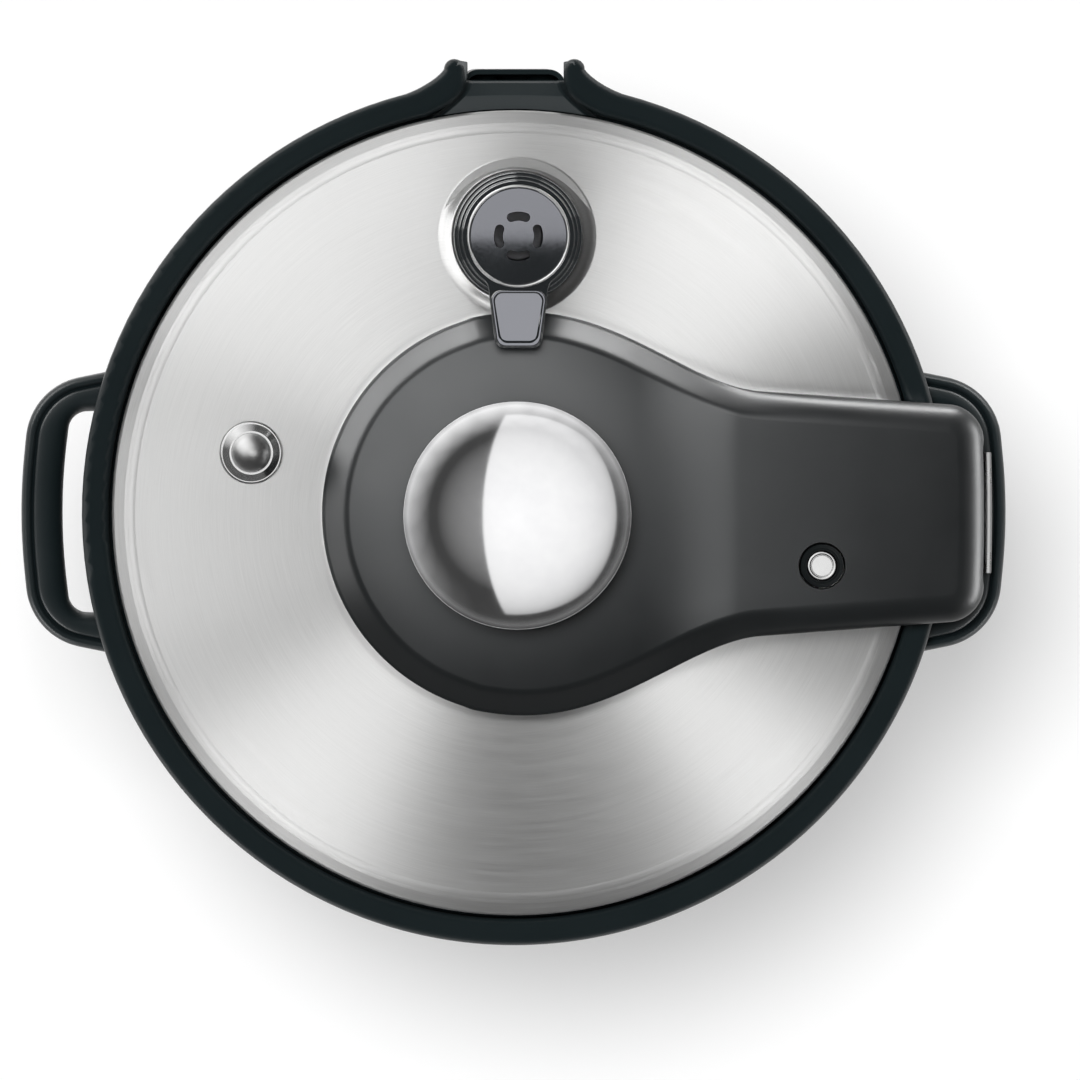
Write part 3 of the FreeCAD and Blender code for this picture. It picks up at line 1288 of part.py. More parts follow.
def gasket():
    inner_r = GASKET_R - GASKET_WIDTH
    back_r = GASKET_R - GASKET_WALL
    upper_z = PRESSURE_LID_Z - GASKET_WALL
    lower_z = FLANGE_TOP_Z + GASKET_WALL
    return spin([
        (inner_r, FLANGE_TOP_Z), (GASKET_R, FLANGE_TOP_Z), (GASKET_R, PRESSURE_LID_Z),
        (inner_r, PRESSURE_LID_Z), (inner_r, upper_z), (back_r, upper_z),
        (back_r, lower_z), (inner_r, lower_z)])


def lid_posts():
    under_lid = lid_envelope(-LID_SHEET, LEDGE_Z - 30)
    posts = []
    for angle in POST_ANGLES:
        x, y = polar(POST_PCR, angle)
        post = rod(POST_R, PRESSURE_LID_TOP_Z, CROWN_Z, x, y)
        posts.append(post.common(under_lid))
    return Part.makeCompound(posts)


def shaft_bush():
    flange_top = CROWN_Z - LID_SHEET - FRAME_SEAT
    flange_r = BUSH_R + BUSH_FLANGE
    bore_r = SHAFT_R + SHAFT_GAP
    return spin([
        (bore_r, CROWN_Z - BUSH_DEPTH), (BUSH_R, CROWN_Z - BUSH_DEPTH), (BUSH_R, flange_top - BUSH_FLANGE_T),
        (flange_r, flange_top - BUSH_FLANGE_T), (flange_r, flange_top), (BUSH_R, flange_top),
        (BUSH_R, CROWN_Z + BUSH_RISE), (bore_r, CROWN_Z + BUSH_RISE)])


def vent_pipe():
    top_z = landing_z() + PIPE_RISE
    return tube(PIPE_R, PIPE_BORE_R, PRESSURE_LID_Z - PIPE_DROP, top_z, VALVE_X, VALVE_Y)


def vent_shield():
    low_z = PRESSURE_LID_Z - SHIELD_DEPTH
    cup = rod(SHIELD_R, low_z, PRESSURE_LID_Z)
    cup = round_rings(cup, 2.0, [(SHIELD_R, low_z)])
    cup = cup.cut(rod(SHIELD_R - SHIELD_WALL, low_z + SHIELD_WALL, PRESSURE_LID_Z))
    hole = rod_x(1.2, 0, FAR, 0, low_z + SHIELD_DEPTH / 2)
    cup = cup.cut([turned(hole, 360 / SHIELD_HOLES * i) for i in range(SHIELD_HOLES)])
    cup.translate(Vector(VALVE_X, VALVE_Y, 0))
    return cup


def collar_top_z():
    return landing_z() + COLLAR_HEIGHT


def spigot_r():
    return WEIGHT_R + 2 * SLIDE_GAP + SPIGOT_WALL


def valve_collar():
    z0 = landing_z()
    top_z = collar_top_z()
    bore_r = WEIGHT_R + 2 * SLIDE_GAP
    socket_r = spigot_r() + SHAFT_GAP
    socket_z = top_z - SPIGOT_LENGTH - SLIDE_GAP
    collar = spin([
        (bore_r, z0), (COLLAR_R, z0), (COLLAR_R, z0 + COLLAR_STEP), (COLLAR_NECK_R, z0 + COLLAR_STEP),
        (COLLAR_NECK_R, top_z), (socket_r, top_z), (socket_r, socket_z), (bore_r, socket_z)])
    collar = round_rings(collar, 1.2, [(COLLAR_R, z0 + COLLAR_STEP)])
    collar.translate(Vector(VALVE_X, VALVE_Y, 0))
    return collar


def arc_slots(z0, z1):
    """Four curved slots round the valve's axis."""
    slots = []
    for quarter in range(4):
        slot = sector(SLOT_R + SLOT_WIDTH / 2, SLOT_R - SLOT_WIDTH / 2, 90 * quarter, SLOT_ANGLE, z0, z1)
        for end in (-SLOT_ANGLE / 2, SLOT_ANGLE / 2):
            x, y = polar(SLOT_R, 90 * quarter + end)
            slot = slot.fuse(rod(SLOT_WIDTH / 2, z0, z1, x, y))
        slots.append(slot)
    return slots


def cap_top_z():
    return ARM_TOP_Z + SLIDE_GAP + TAIL_T


def tail_outline(start, margin):
    taper = (TAIL_ROOT_HALF - TAIL_END_HALF) / TAIL_END
    root = TAIL_ROOT_HALF + taper * start - margin
    end = TAIL_END_HALF - margin
    end_y = -TAIL_END + margin
    r = max(TAIL_CORNER_R - margin, 0.8)
    start_r = r if start < 0 else 0
    return rounded([(-root, start, start_r), (-end, end_y, r), (end, end_y, r), (root, start, start_r)])


def valve_cap():
    top_z = cap_top_z()
    low_z = collar_top_z() + SLIDE_GAP
    tail = plan(tail_outline(0, 0), top_z - TAIL_T, top_z)
    body = union([rod(CAP_R, low_z, top_z), tail])
    necks = [e for e in uprights(body, -TAIL_ROOT_HALF - 2, TAIL_ROOT_HALF + 2)
             if -CAP_R < e.BoundBox.Center.y < -CAP_R / 2]
    body = body.makeFillet(TAIL_NECK_R, necks)
    body = body.makeFillet(CAP_EDGE_R, edges_at(body, top_z))
    inner_r = WEIGHT_R + 2 * SLIDE_GAP
    spigot = rod(spigot_r(), low_z - SLIDE_GAP - SPIGOT_LENGTH, low_z)
    body = union([body, spigot])
    ceiling = landing_z() + PIPE_RISE + WEIGHT_HEIGHT + WEIGHT_LIFT + SLIDE_GAP
    body = body.cut(rod(inner_r, low_z - SPIGOT_LENGTH - 1, ceiling))
    body = body.cut(rod(DISC_R, top_z - DISC_T + DISC_PROUD, top_z + 1))
    body = body.cut(arc_slots(ceiling - 1, top_z))
    body = body.cut(plan(tail_outline(-PAD_START, PAD_MARGIN), top_z - PAD_DEPTH, top_z))
    body.translate(Vector(VALVE_X, VALVE_Y, 0))
    return body


def valve_disc():
    top_z = cap_top_z() + DISC_PROUD
    disc = rod(DISC_R, top_z - DISC_T, top_z)
    disc = disc.makeChamfer(DISC_CHAMFER, edges_at(disc, top_z))
    disc = disc.cut(arc_slots(top_z - DISC_T, top_z))
    disc.translate(Vector(VALVE_X, VALVE_Y, 0))
    return disc


def valve_weight():
    z0 = landing_z() + PIPE_RISE
    weight = rod(WEIGHT_R, z0, z0 + WEIGHT_HEIGHT)
    weight = round_rings(weight, 1.0, [(WEIGHT_R, z0 + WEIGHT_HEIGHT)])
    weight.translate(Vector(VALVE_X, VALVE_Y, 0))
    return weight


def safety_levels():
    flange_z = lid_z(math.hypot(SAFETY_X, SAFETY_Y)) - SAFETY_FLANGE_T / 2
    step_z = flange_z + SAFETY_FLANGE_T
    cone_z = step_z + SAFETY_STEP_T
    return flange_z, step_z, cone_z, cone_z + SAFETY_CONE_T


def safety_body():
    flange_z, step_z, cone_z, top_z = safety_levels()
    bore_r = SAFETY_PIN_R + SLIDE_GAP
    dome_r = SAFETY_DOME_R + SLIDE_GAP
    body = spin([
        (bore_r, PRESSURE_LID_TOP_Z), (SAFETY_STEM_R, PRESSURE_LID_TOP_Z), (SAFETY_STEM_R, flange_z),
        (SAFETY_R, flange_z), (SAFETY_R, step_z), (SAFETY_STEP_R, step_z), (SAFETY_STEP_R, cone_z),
        (dome_r + 0.4, top_z), (dome_r, top_z), (dome_r, cone_z), (bore_r, cone_z)])
    body = round_rings(body, 0.5, [(SAFETY_R, step_z)])
    body.translate(Vector(SAFETY_X, SAFETY_Y, 0))
    return body


def safety_cap():
    flange_z, step_z, cone_z, top_z = safety_levels()
    low_z = cone_z + SLIDE_GAP
    pin_z = PRESSURE_LID_Z - SAFETY_LIFT
    peak = top_z + SAFETY_DOME_T
    ball_r = (SAFETY_DOME_R ** 2 + SAFETY_DOME_T ** 2) / (2 * SAFETY_DOME_T)
    rise = (SAFETY_DOME_R / 2, peak - ball_r + math.sqrt(ball_r ** 2 - SAFETY_DOME_R ** 2 / 4))
    cap = spin([
        (0, pin_z), (SAFETY_PIN_R, pin_z), (SAFETY_PIN_R, low_z), (SAFETY_DOME_R, low_z),
        (SAFETY_DOME_R, top_z), (rise, (0, peak))])
    cap.translate(Vector(SAFETY_X, SAFETY_Y, 0))
    return cap


def roof_z(x):
    return ARM_TOP_Z - SLOPE_R + math.sqrt(SLOPE_R ** 2 - max(0, x - ARM_SLOPE_X) ** 2)


def float_ring_top():
    return roof_z(FLOAT_X - FLOAT_RING_R) + 0.2


def float_guide():
    top_z = float_ring_top()
    ring = tube(FLOAT_RING_R, FLOAT_HEAD_R + FLOAT_RING_GAP, top_z - FLOAT_RING_T, top_z)
    ring = round_rings(ring, 0.5, [(FLOAT_RING_R, top_z), (FLOAT_HEAD_R + FLOAT_RING_GAP, top_z)])
    ring.translate(Vector(FLOAT_X, FLOAT_Y, 0))
    return ring


def float_seal_top():
    return PRESSURE_LID_Z - FLOAT_LIFT - SLIDE_GAP


def float_pin():
    top_z = float_ring_top() - FLOAT_SINK
    head = round_rings(rod(FLOAT_HEAD_R, top_z - FLOAT_HEAD_T, top_z), 1.2, [(FLOAT_HEAD_R, top_z)])
    stem = rod(FLOAT_STEM_R, float_seal_top() - FLOAT_SEAL_T, top_z - FLOAT_HEAD_T)
    pin = union([head, stem])
    pin.translate(Vector(FLOAT_X, FLOAT_Y, 0))
    return pin


def float_seal():
    top_z = float_seal_top()
    return tube(FLOAT_SEAL_R, FLOAT_STEM_R, top_z - FLOAT_SEAL_T, top_z, FLOAT_X, FLOAT_Y)


# Lock

def knob_profile(inset):
    """The knob's outline from its foot to its peak, as steps."""
    widest = KNOB_R - inset
    neck = KNOB_NECK_R - inset
    edge_x = KNOB_R - KNOB_EDGE_R
    dome_z = KNOB_Z + KNOB_HEIGHT - KNOB_DOME_R
    reach = KNOB_DOME_R - KNOB_EDGE_R
    lean = math.asin(edge_x / reach)
    waist_z = dome_z + reach * math.cos(lean)
    edge_r = KNOB_EDGE_R - inset
    dome_r = KNOB_DOME_R - inset
    turn = (lean + math.pi / 2) / 2
    turn_point = (edge_x + edge_r * math.sin(turn), waist_z + edge_r * math.cos(turn))
    dome_edge = (dome_r * math.sin(lean), dome_z + dome_r * math.cos(lean))
    dome_point = (dome_r * math.sin(lean / 2), dome_z + dome_r * math.cos(lean / 2))
    foot_pull = (neck + (widest - neck) * 0.65, KNOB_Z + 1)
    side_pull = (widest, (KNOB_Z + waist_z) / 2)
    return [(neck, KNOB_Z), (foot_pull, side_pull, (widest, waist_z)), (turn_point, dome_edge),
            (dome_point, (0, dome_z + dome_r))]


def lock_knob():
    solid = spin(knob_profile(0) + [(0, KNOB_Z)])
    return solid.cut(spin(knob_profile(KNOB_WALL) + [(0, KNOB_Z)]))


def knob_core():
    return tube(KNOB_NECK_R - KNOB_WALL, SHAFT_R, KNOB_Z, KNOB_Z + KNOB_CORE_HEIGHT)


def lock_shaft():
    shaft = rod(SHAFT_R, LOCK_RING_Z, KNOB_Z + KNOB_CORE_HEIGHT)
    return union([shaft, rod(SHAFT_FLANGE_R, LOCK_RING_Z, LOCK_RING_Z + SHAFT_FLANGE_T)])


def lock_ring():
    top_z = LOCK_RING_Z + LOCK_RING_T
    ring = tube(LOCK_RING_R, LOCK_RING_INNER_R, LOCK_RING_Z, top_z)
    pitch = 360 / LUG_COUNT
    lugs = [sector(LUG_R, LOCK_RING_R - 1, LOCK_TURN + pitch * i, LUG_ANGLE, LOCK_RING_Z, top_z)
            for i in range(LUG_COUNT)]
    half = SPIDER_ARM_WIDTH / 2
    arm = block(0, LOCK_RING_INNER_R + 1, -half, half, LOCK_RING_Z, top_z)
    arms = [turned(arm, SPIDER_ANGLE + 360 / SPIDER_ARMS * i) for i in range(SPIDER_ARMS)]
    hub = rod(HUB_R, LOCK_RING_Z, LOCK_RING_Z + HUB_RISE)
    spider = union([ring, hub] + lugs + arms)
    spider = spider.cut(rod(SHAFT_FLANGE_R, LOCK_RING_Z, LOCK_RING_Z + SHAFT_FLANGE_T))
    return spider.cut(rod(SHAFT_R, 0, FAR))


PIECES = (
    foot_ring, base_moulding, base_plate, base_screws, body_wrap, top_rim, left_handle, right_handle,
    handle_screws, liner, bayonet_ring, heating_plate, heater_leads, thermal_fuse, sensor_cup,
    sensor_plunger, sensor_spring, inner_pot, control_panel, display_window, control_board,
    display_module, dial_encoder, dial, power_board, transformer, mains_relay, mains_inlet, cup_bracket,
    condensation_cup, hinge_bracket, hinge_pin, lid_cover, arm_cover, arm_frame, frame_screws,
    pressure_lid, gasket, lid_posts, shaft_bush, vent_pipe, vent_shield, valve_collar, valve_cap,
    valve_disc, valve_weight, safety_body, safety_cap, float_guide, float_pin, float_seal, lock_knob,
    knob_core, lock_shaft, lock_ring)

os.makedirs("parts", exist_ok=True)
for piece in PIECES:
    save(piece.__name__, piece())
for button_name, button_angle, button_z in button_sets():
    save(button_name, button(button_angle, button_z))
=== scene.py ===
import json
import math

import bmesh
import bpy
from mathutils import Matrix, Vector


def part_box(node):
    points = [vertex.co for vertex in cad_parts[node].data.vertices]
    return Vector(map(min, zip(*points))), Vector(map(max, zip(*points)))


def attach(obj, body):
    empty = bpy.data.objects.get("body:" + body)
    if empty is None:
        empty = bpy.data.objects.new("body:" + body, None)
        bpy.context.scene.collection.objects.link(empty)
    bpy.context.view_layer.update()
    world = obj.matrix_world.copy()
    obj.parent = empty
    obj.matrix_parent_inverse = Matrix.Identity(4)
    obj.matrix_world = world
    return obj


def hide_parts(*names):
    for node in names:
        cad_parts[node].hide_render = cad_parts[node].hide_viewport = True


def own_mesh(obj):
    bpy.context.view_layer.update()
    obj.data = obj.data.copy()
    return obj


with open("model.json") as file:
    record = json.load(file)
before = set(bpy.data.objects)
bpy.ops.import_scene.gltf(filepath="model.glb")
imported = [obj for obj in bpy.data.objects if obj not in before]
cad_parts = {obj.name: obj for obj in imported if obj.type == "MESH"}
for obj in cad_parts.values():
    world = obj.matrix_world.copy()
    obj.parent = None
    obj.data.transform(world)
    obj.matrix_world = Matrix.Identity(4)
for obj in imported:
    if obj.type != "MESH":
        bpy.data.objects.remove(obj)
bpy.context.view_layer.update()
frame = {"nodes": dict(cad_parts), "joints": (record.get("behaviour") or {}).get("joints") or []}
nodes = frame["nodes"]

# The electric pressure cooker's looks, in metres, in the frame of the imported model: +X to the hinge,
# -Y to the controls, +Y to the spout and +Z up. Lengths below are written in millimetres times MM.
MM = 0.001

# Levels of the frame
RIM_TOP_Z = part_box("top_rim")[1].z
ARM_TOP_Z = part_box("arm_cover")[1].z
LID_DOME_REACH = 134.2 * MM
LID_DOME_RISE = 10.5 * MM
LID_CROWN_Z = RIM_TOP_Z + 13 * MM

# Arm over the lid
HUB_X = 2.9 * MM
HUB_R = 69.5 * MM
ARM_ROOT_HALF = 47.9 * MM
ARM_END_HALF = 36.6 * MM
ARM_END_X = 162.2 * MM
ARM_CORNER_R = 11 * MM
ARM_END_BOW = 1.3 * MM       # how far the end's corners lie behind its middle
ARM_NECK_R = 22 * MM
ARM_LEVEL_X = 58 * MM        # the arm's top falls beyond this
ARM_FALL = 10 * MM
SHOULDER_WIDTH = 9.6 * MM    # sloped band all round the arm's top
SHOULDER_DROP = 7.4 * MM
END_SHOULDER_WIDTH = 10 * MM
END_SHOULDER_DROP = 9 * MM
END_START_X = 55 * MM        # where the shoulder starts to turn into the round end
END_FULL_X = 112 * MM
AXIS_END_X = ARM_END_X - END_SHOULDER_WIDTH - 8 * MM   # end of the arm's middle line
EDGE_SHARE = 0.08            # of the shoulder's width and drop, for its round lower edge
EDGE_RISE = 0.14
FOLD_SHARE = 0.72            # where the slope starts to fold into the top
FOLD_RISE = 0.85
SHOULDER_SHARES = (0, 0.01, 0.025, 0.045, EDGE_SHARE, 0.13, 0.19, 0.26, 0.36, 0.48, 0.6, FOLD_SHARE, 0.76,
                   0.8, 0.84, 0.88, 0.92, 0.96, 1)
CROWN_START_R = 30 * MM      # the hub's top is level inside this
CROWN_R = 170 * MM
CROWN_FADE_X = 0.6 * HUB_R   # the crown fades out along the arm from here
CROWN_FADE = 0.5 * HUB_R     # over this length
HEEL_R = 6.3 * MM            # heel round the hinge axis
OVER_RIM = 1 * MM
LID_GAP = 0.3 * MM
WINDOW_HALF = 26 * MM        # window in the arm's end for the hinge bracket
WINDOW_RISE = 9.4 * MM
WINDOW_CORNER_R = 5 * MM
WINDOW_LEAD = 1 * MM         # how far before the heel the window starts
NOTCH_DEPTH = 0.7 * MM
NOTCH_CORNER_R = 0.8 * MM
NOTCH_LOW_Z = 200 * MM
FLOAT_HOLE_GAP = 0.7 * MM
FLOAT_HOLE_LOW_Z = 250 * MM
CUT_LENGTH = 100 * MM        # enough to pass through what is cut
OUTLINE_POINTS = 240         # on each half of the arm's outline
TURN_STEPS = 96              # round a turned piece

# Handles, in plan and in section
HANDLE_ROOT_X = 120 * MM
GAP_ROOT_X = 100 * MM
HANDLE_HALF = 52.5 * MM
HANDLE_CORNER = (166.7 * MM, 43 * MM, 23 * MM)
HANDLE_PEAK = (170.95 * MM, 200 * MM)
GAP_HALF = 36.4 * MM
GAP_CORNER = (153 * MM, 34.6 * MM, 6.5 * MM)
GAP_PEAK = (157.25 * MM, 200 * MM)
GRIP_SEAT_R = 143.27 * MM    # just outside the rim's skirt
GRIP_STEPS = 150
CROWN_INSET = 7.2 * MM       # the grip's highest line, from its outer edge
GRIP_ROUND = 8 * MM          # depth of the grip's round inner side
SOCKET_GAP = 0.15 * MM
SOCKET_DEPTH = 2.2 * MM
SKIRT_LOW_Z = 150 * MM

# Steam valve
TAIL_ROOT_HALF = 12.4 * MM
TAIL_END_HALF = 7.7 * MM
TAIL_START = 18.2 * MM
TAIL_END = 38.6 * MM
TAIL_CORNER_R = 3.6 * MM
PAD_START = 20 * MM
PAD_END = 35.2 * MM
PAD_ROOT_HALF = 8.1 * MM
PAD_END_HALF = 5.5 * MM
PAD_CORNER_R = 2.5 * MM

# Hinge strip
STRIP_CORNERS = ((-0.9, 250.3), (1.0, 256.95))   # in mm: across from its middle line, and up
STRIP_CORNER_R = 0.3
STRIP_INSET = 0.9 * MM       # its middle line, from the bracket's outer face
STRIP_OVERHANG = 0.2 * MM
STRIP_BOW = 0.25 * MM
STRIP_STEPS = 40

# Lock knob
KNOB_DOME_R = 55 * MM
KNOB_NECK_R = 27 * MM
KNOB_WAIST = 18.3 * MM       # its widest height above its foot
KNOB_RIM = 39.0 * MM         # where the dome ends
KNOB_WALL = 2 * MM
KNOB_FULLNESS = 0.65         # how far out the curve from the neck is pulled
KNOB_STEPS = 14
DOME_STEPS = 24

# Sensor spring
COIL_WIRE_R = 0.7 * MM
COIL_TURNS = 5
COIL_STEPS = 28              # short lengths in each turn
COIL_SIDES = 12

# Controls and pot
PANEL_R = 144.45 * MM
BUTTON_FACE_R = 145.65 * MM
POT_INNER_R = 110 * MM
MARK_SINK = 0.02 * MM        # how far marks reach into the surface
PRINT_LIFT = 0.06 * MM
FIGURES = (("2", -15.5), ("5", -5.5), ("0", 5.5), ("0", 15.5))   # each with its place across, in mm
FIGURE_BAR = 3.2             # half of a bar's length, in mm
FIGURE_GAP = 0.75
FIGURE_WIDTH = 1.3

# Spout
SPOUT_X = 0.4 * MM
TROUGH_INNER_R = 139.3 * MM
TROUGH_END_Y = 149 * MM
TROUGH_LOW_Z = 247.05 * MM
MOUTH_HALF = 17.1 * MM
THROAT_HALF = 28.5 * MM
TROUGH_FLAT = 0.84           # share of the floor's width that is flat
TROUGH_SIDE_RISE = 5.5 * MM
HORN_LOW_Z = 250 * MM
HORN_EDGE_R = 0.35 * MM

# Camera and stage
PHOTO_PX = 1080
MM_PER_PX = 0.3448
RIM_CENTRE_PX = (514.7, 513.0)
VIEW_LEAN = (-0.0206, 0.0190)   # how far the view leans from straight down, per unit of height
CAMERA_DISTANCE = 10.0
SENSOR_MM = 36.0
FLOOR_RADIUS = 20.0
SKY_LEVEL = 0.06
HORIZON_LEVEL = 0.12
HORIZON_START = 0.02         # heights between which the pale horizon fades
HORIZON_END = 0.14
KEY_LEVEL = 1.05             # 1 lights a white surface to white
KEY_SPREAD = 15              # degrees across
KEY_BEARING = (130, 9)
FLOOR_GLOW = 0.5             # share of the floor that is seen as plain white
FLOOR_WHITE = (0.94, 0.94, 0.94, 1)
INSIDE_STEEL = ("inner_pot", "liner", "bayonet_ring", "heating_plate", "lock_ring", "pressure_lid")

# Soft boxes that are only seen in the gloss of a group of pieces: the group, bearing and tilt in degrees,
# distance, size and brightness, and for some the angle at which they have faded out
ROUND_LIGHTS = (
    ("arm", 130, 98, 0.9, (1.5, 0.32), 47.0),
    ("arm", 80, 98, 0.9, (0.8, 0.32), 62.0),
    ("arm", 188, 98, 0.9, (0.5, 0.32), 14.0),
    ("arm", 0, 98, 0.9, (0.9, 0.32), 32.0),
    ("arm", 125, 20, 1.2, (0.9, 0.9), 20.0),
    ("cap", 130, 72, 1.2, (1.8, 0.5), 7.0),
    ("boss", 185, 70, 1.2, (1.6, 0.8), 2.4),
    ("lid", 50, 28, 1.4, (0.52, 0.5), 4.0),
    ("lid_and_boss", 125, 28, 1.4, (0.85, 0.5), 3.6),
    ("lid_and_boss", 185, 28, 1.4, (0.5, 0.5), 2.9),
    ("lid_and_boss", 234, 28, 1.4, (0.42, 0.5), 3.6),
    ("lid", 314, 28, 1.4, (0.28, 0.5), 4.0),
    ("metals", 135, 40, 1.2, (1.6, 1.6), 1.5, 50),
    ("metals", 125, 84, 1.2, (2.4, 1.2), 1.2, 45),
    ("underside", 180, 84, 1.5, (3.0, 1.2), 0.9),
    ("spout", 90, 75, 1.2, (1.0, 0.3), 6.0),
    ("horns", 0, 68, 1.2, (1.0, 0.8), 5.0),
    ("horns", 180, 68, 1.2, (1.0, 0.8), 5.0),
    ("grips", 50, 64, 1.4, (1.0, 0.4), 14.0),
    ("grips", 140, 64, 1.4, (1.0, 0.4), 11.0),
    ("grips", 220, 64, 1.4, (1.0, 0.4), 9.0),
    ("grips", 320, 64, 1.4, (1.0, 0.4), 8.0),
)
# Cards above, for a group as well: the group, height over the rim, corners in plan and brightness
CARDS = (
    ("metals", 1.0, (-0.2, -0.2), (0.3, 0.2), 1.1),
    ("inside", 1.2, (-1.2, -1.2), (1.2, 1.2), 0.85),
    ("strip", 1.0, (-0.1, -0.3), (0.45, 0.3), 0.6),
    ("spout", 0.6, (-0.4, -0.25), (0.4, 0.3), 1.5),
)
# Low soft boxes for most pieces: bearing and brightness
LOW_LIGHTS = ((45, 3.0), (135, 3.0), (225, 3.0), (315, 2.0))
# Low lights round the knob, each with its brightness
KNOB_LIGHTS = (0.1, 0.16, 0.3, 0.45, 0.55, 0.6, 0.62, 0.6, 0.55, 0.5, 0.42, 0.32, 0.22, 0.14, 0.07)
KNOB_LIGHT_STEP = 15         # degrees from each of these to the next
KNOB_CARD_RISE = 0.6
KNOB_CARD_EDGE = 25.6        # degrees from the knob's axis to the bright card's left edge
DISC_CARD_RISE = 0.15
TAB_CARD_RISE = 0.5
COOL_LIGHT = (0.95, 0.96, 1.05)


# Shader helpers

def add(tree, kind, inputs=None, **settings):
    """A shader node with its settings, and its inputs given as values or as sockets to link."""
    node = tree.nodes.new(kind)
    for name, value in settings.items():
        setattr(node, name, value)
    for name, value in (inputs or {}).items():
        if isinstance(value, bpy.types.NodeSocket):
            tree.links.new(value, node.inputs[name])
        else:
            node.inputs[name].default_value = value
    return node


def blank_material(name):
    material = bpy.data.materials.new(name)
    material.use_nodes = True
    material.node_tree.nodes.clear()
    return material, material.node_tree


def surface(name, values):
    """A new material with a principled shader set to these values."""
    material, tree = blank_material(name)
    shader = add(tree, "ShaderNodeBsdfPrincipled", values)
    add(tree, "ShaderNodeOutputMaterial", {"Surface": shader.outputs["BSDF"]})
    return material, tree, shader


def vector_node(tree, operation, inputs):
    return add(tree, "ShaderNodeVectorMath", inputs, operation=operation)


def place(tree, stretch=(1, 1, 1)):
    """The point on the surface in metres, stretched along the axes."""
    spot = add(tree, "ShaderNodeTexCoord").outputs["Object"]
    if stretch == (1, 1, 1):
        return spot
    return vector_node(tree, "MULTIPLY", {0: spot, 1: stretch}).outputs[0]


def noise(tree, spot, scale, detail=2.0, roughness=0.5):
    values = {"Vector": spot, "Scale": scale, "Detail": detail, "Roughness": roughness}
    return add(tree, "ShaderNodeTexNoise", values).outputs[0]


def spread(tree, value, low, high, start=0.3, end=0.7):
    """The value's range from start to end, mapped to the range from low to high."""
    values = {"Value": value, "From Min": start, "From Max": end, "To Min": low, "To Max": high}
    return add(tree, "ShaderNodeMapRange", values).outputs[0]


def tint(tree, amount, dark, light):
    mixed = add(tree, "ShaderNodeMix", {"Factor": amount}, data_type="RGBA")
    mixed.inputs[6].default_value = (*dark, 1)
    mixed.inputs[7].default_value = (*light, 1)
    return mixed.outputs[2]


def math_node(tree, operation, a, b=0.0, c=0.0):
    return add(tree, "ShaderNodeMath", {0: a, 1: b, 2: c}, operation=operation).outputs[0]


def blend(tree, first, second, share):
    """A mix of two values with this share of the first."""
    return math_node(tree, "MULTIPLY_ADD", first, share, math_node(tree, "MULTIPLY", second, 1 - share))


def dent(tree, shader, height, strength, depth):
    """Relief from a height, as a bump on the shader's normal."""
    values = {"Height": height, "Strength": strength, "Distance": depth}
    bump = add(tree, "ShaderNodeBump", values)
    tree.links.new(bump.outputs[0], shader.inputs["Normal"])


def vary(tree, shader, pattern, dark, light, smoothest, roughest):
    """Colour and roughness that follow a pattern."""
    colour = tint(tree, spread(tree, pattern, 0, 1), dark, light)
    tree.links.new(colour, shader.inputs["Base Color"])
    tree.links.new(spread(tree, pattern, smoothest, roughest), shader.inputs["Roughness"])


def ring_streaks(tree, across, along):
    """Noise in fine streaks that run round the Z axis, as on a turned and brushed sheet."""
    stretch, shift = 1.27, 0.5
    flat = place(tree, (1, 1, 0))
    radius = vector_node(tree, "LENGTH", {0: flat}).outputs["Value"]
    heading = vector_node(tree, "NORMALIZE", {0: flat}).outputs[0]
    heading = vector_node(tree, "SCALE", {0: heading, "Scale": along}).outputs[0]
    height = add(tree, "ShaderNodeSeparateXYZ", {0: place(tree)}).outputs["Z"]
    track = math_node(tree, "MULTIPLY", math_node(tree, "MULTIPLY_ADD", radius, stretch, shift), across)
    track = math_node(tree, "ADD", track, math_node(tree, "MULTIPLY", height, across))
    lift = add(tree, "ShaderNodeCombineXYZ", {"Z": track}).outputs[0]
    spot = vector_node(tree, "ADD", {0: heading, 1: lift}).outputs[0]
    return noise(tree, spot, 1.0, 3.0, 0.6)


# Materials

def turned_steel(name, dark, light, roughness, anisotropy):
    """Stainless steel brushed in rings round the Z axis."""
    values = {"Metallic": 1.0, "Anisotropic": anisotropy, "Anisotropic Rotation": 0.25}
    material, tree, shader = surface(name, values)
    fine = ring_streaks(tree, 5200, 7)
    broad = ring_streaks(tree, 700, 2.5)
    vary(tree, shader, blend(tree, fine, broad, 0.7), dark, light, roughness - 0.05, roughness + 0.05)
    tangent = add(tree, "ShaderNodeTangent", direction_type="RADIAL", axis="Z")
    tree.links.new(tangent.outputs[0], shader.inputs["Tangent"])
    dent(tree, shader, fine, 0.12, 0.02 * MM)
    return material


def rolled_steel(name, dark, light, roughness):
    """Plain sheet steel with a faint rolled grain along X."""
    material, tree, shader = surface(name, {"Metallic": 1.0})
    grain = noise(tree, place(tree, (60, 900, 900)), 1.0, 3.0, 0.6)
    vary(tree, shader, grain, dark, light, roughness - 0.06, roughness + 0.06)
    dent(tree, shader, grain, 0.1, 0.03 * MM)
    return material


def polished_metal(name, dark, light, roughness):
    """Bright metal with faint cloudy polishing marks."""
    material, tree, shader = surface(name, {"Metallic": 1.0})
    cloud = noise(tree, place(tree), 55, 4.0, 0.65)
    vary(tree, shader, cloud, dark, light, roughness * 0.8, roughness * 1.25)
    return material


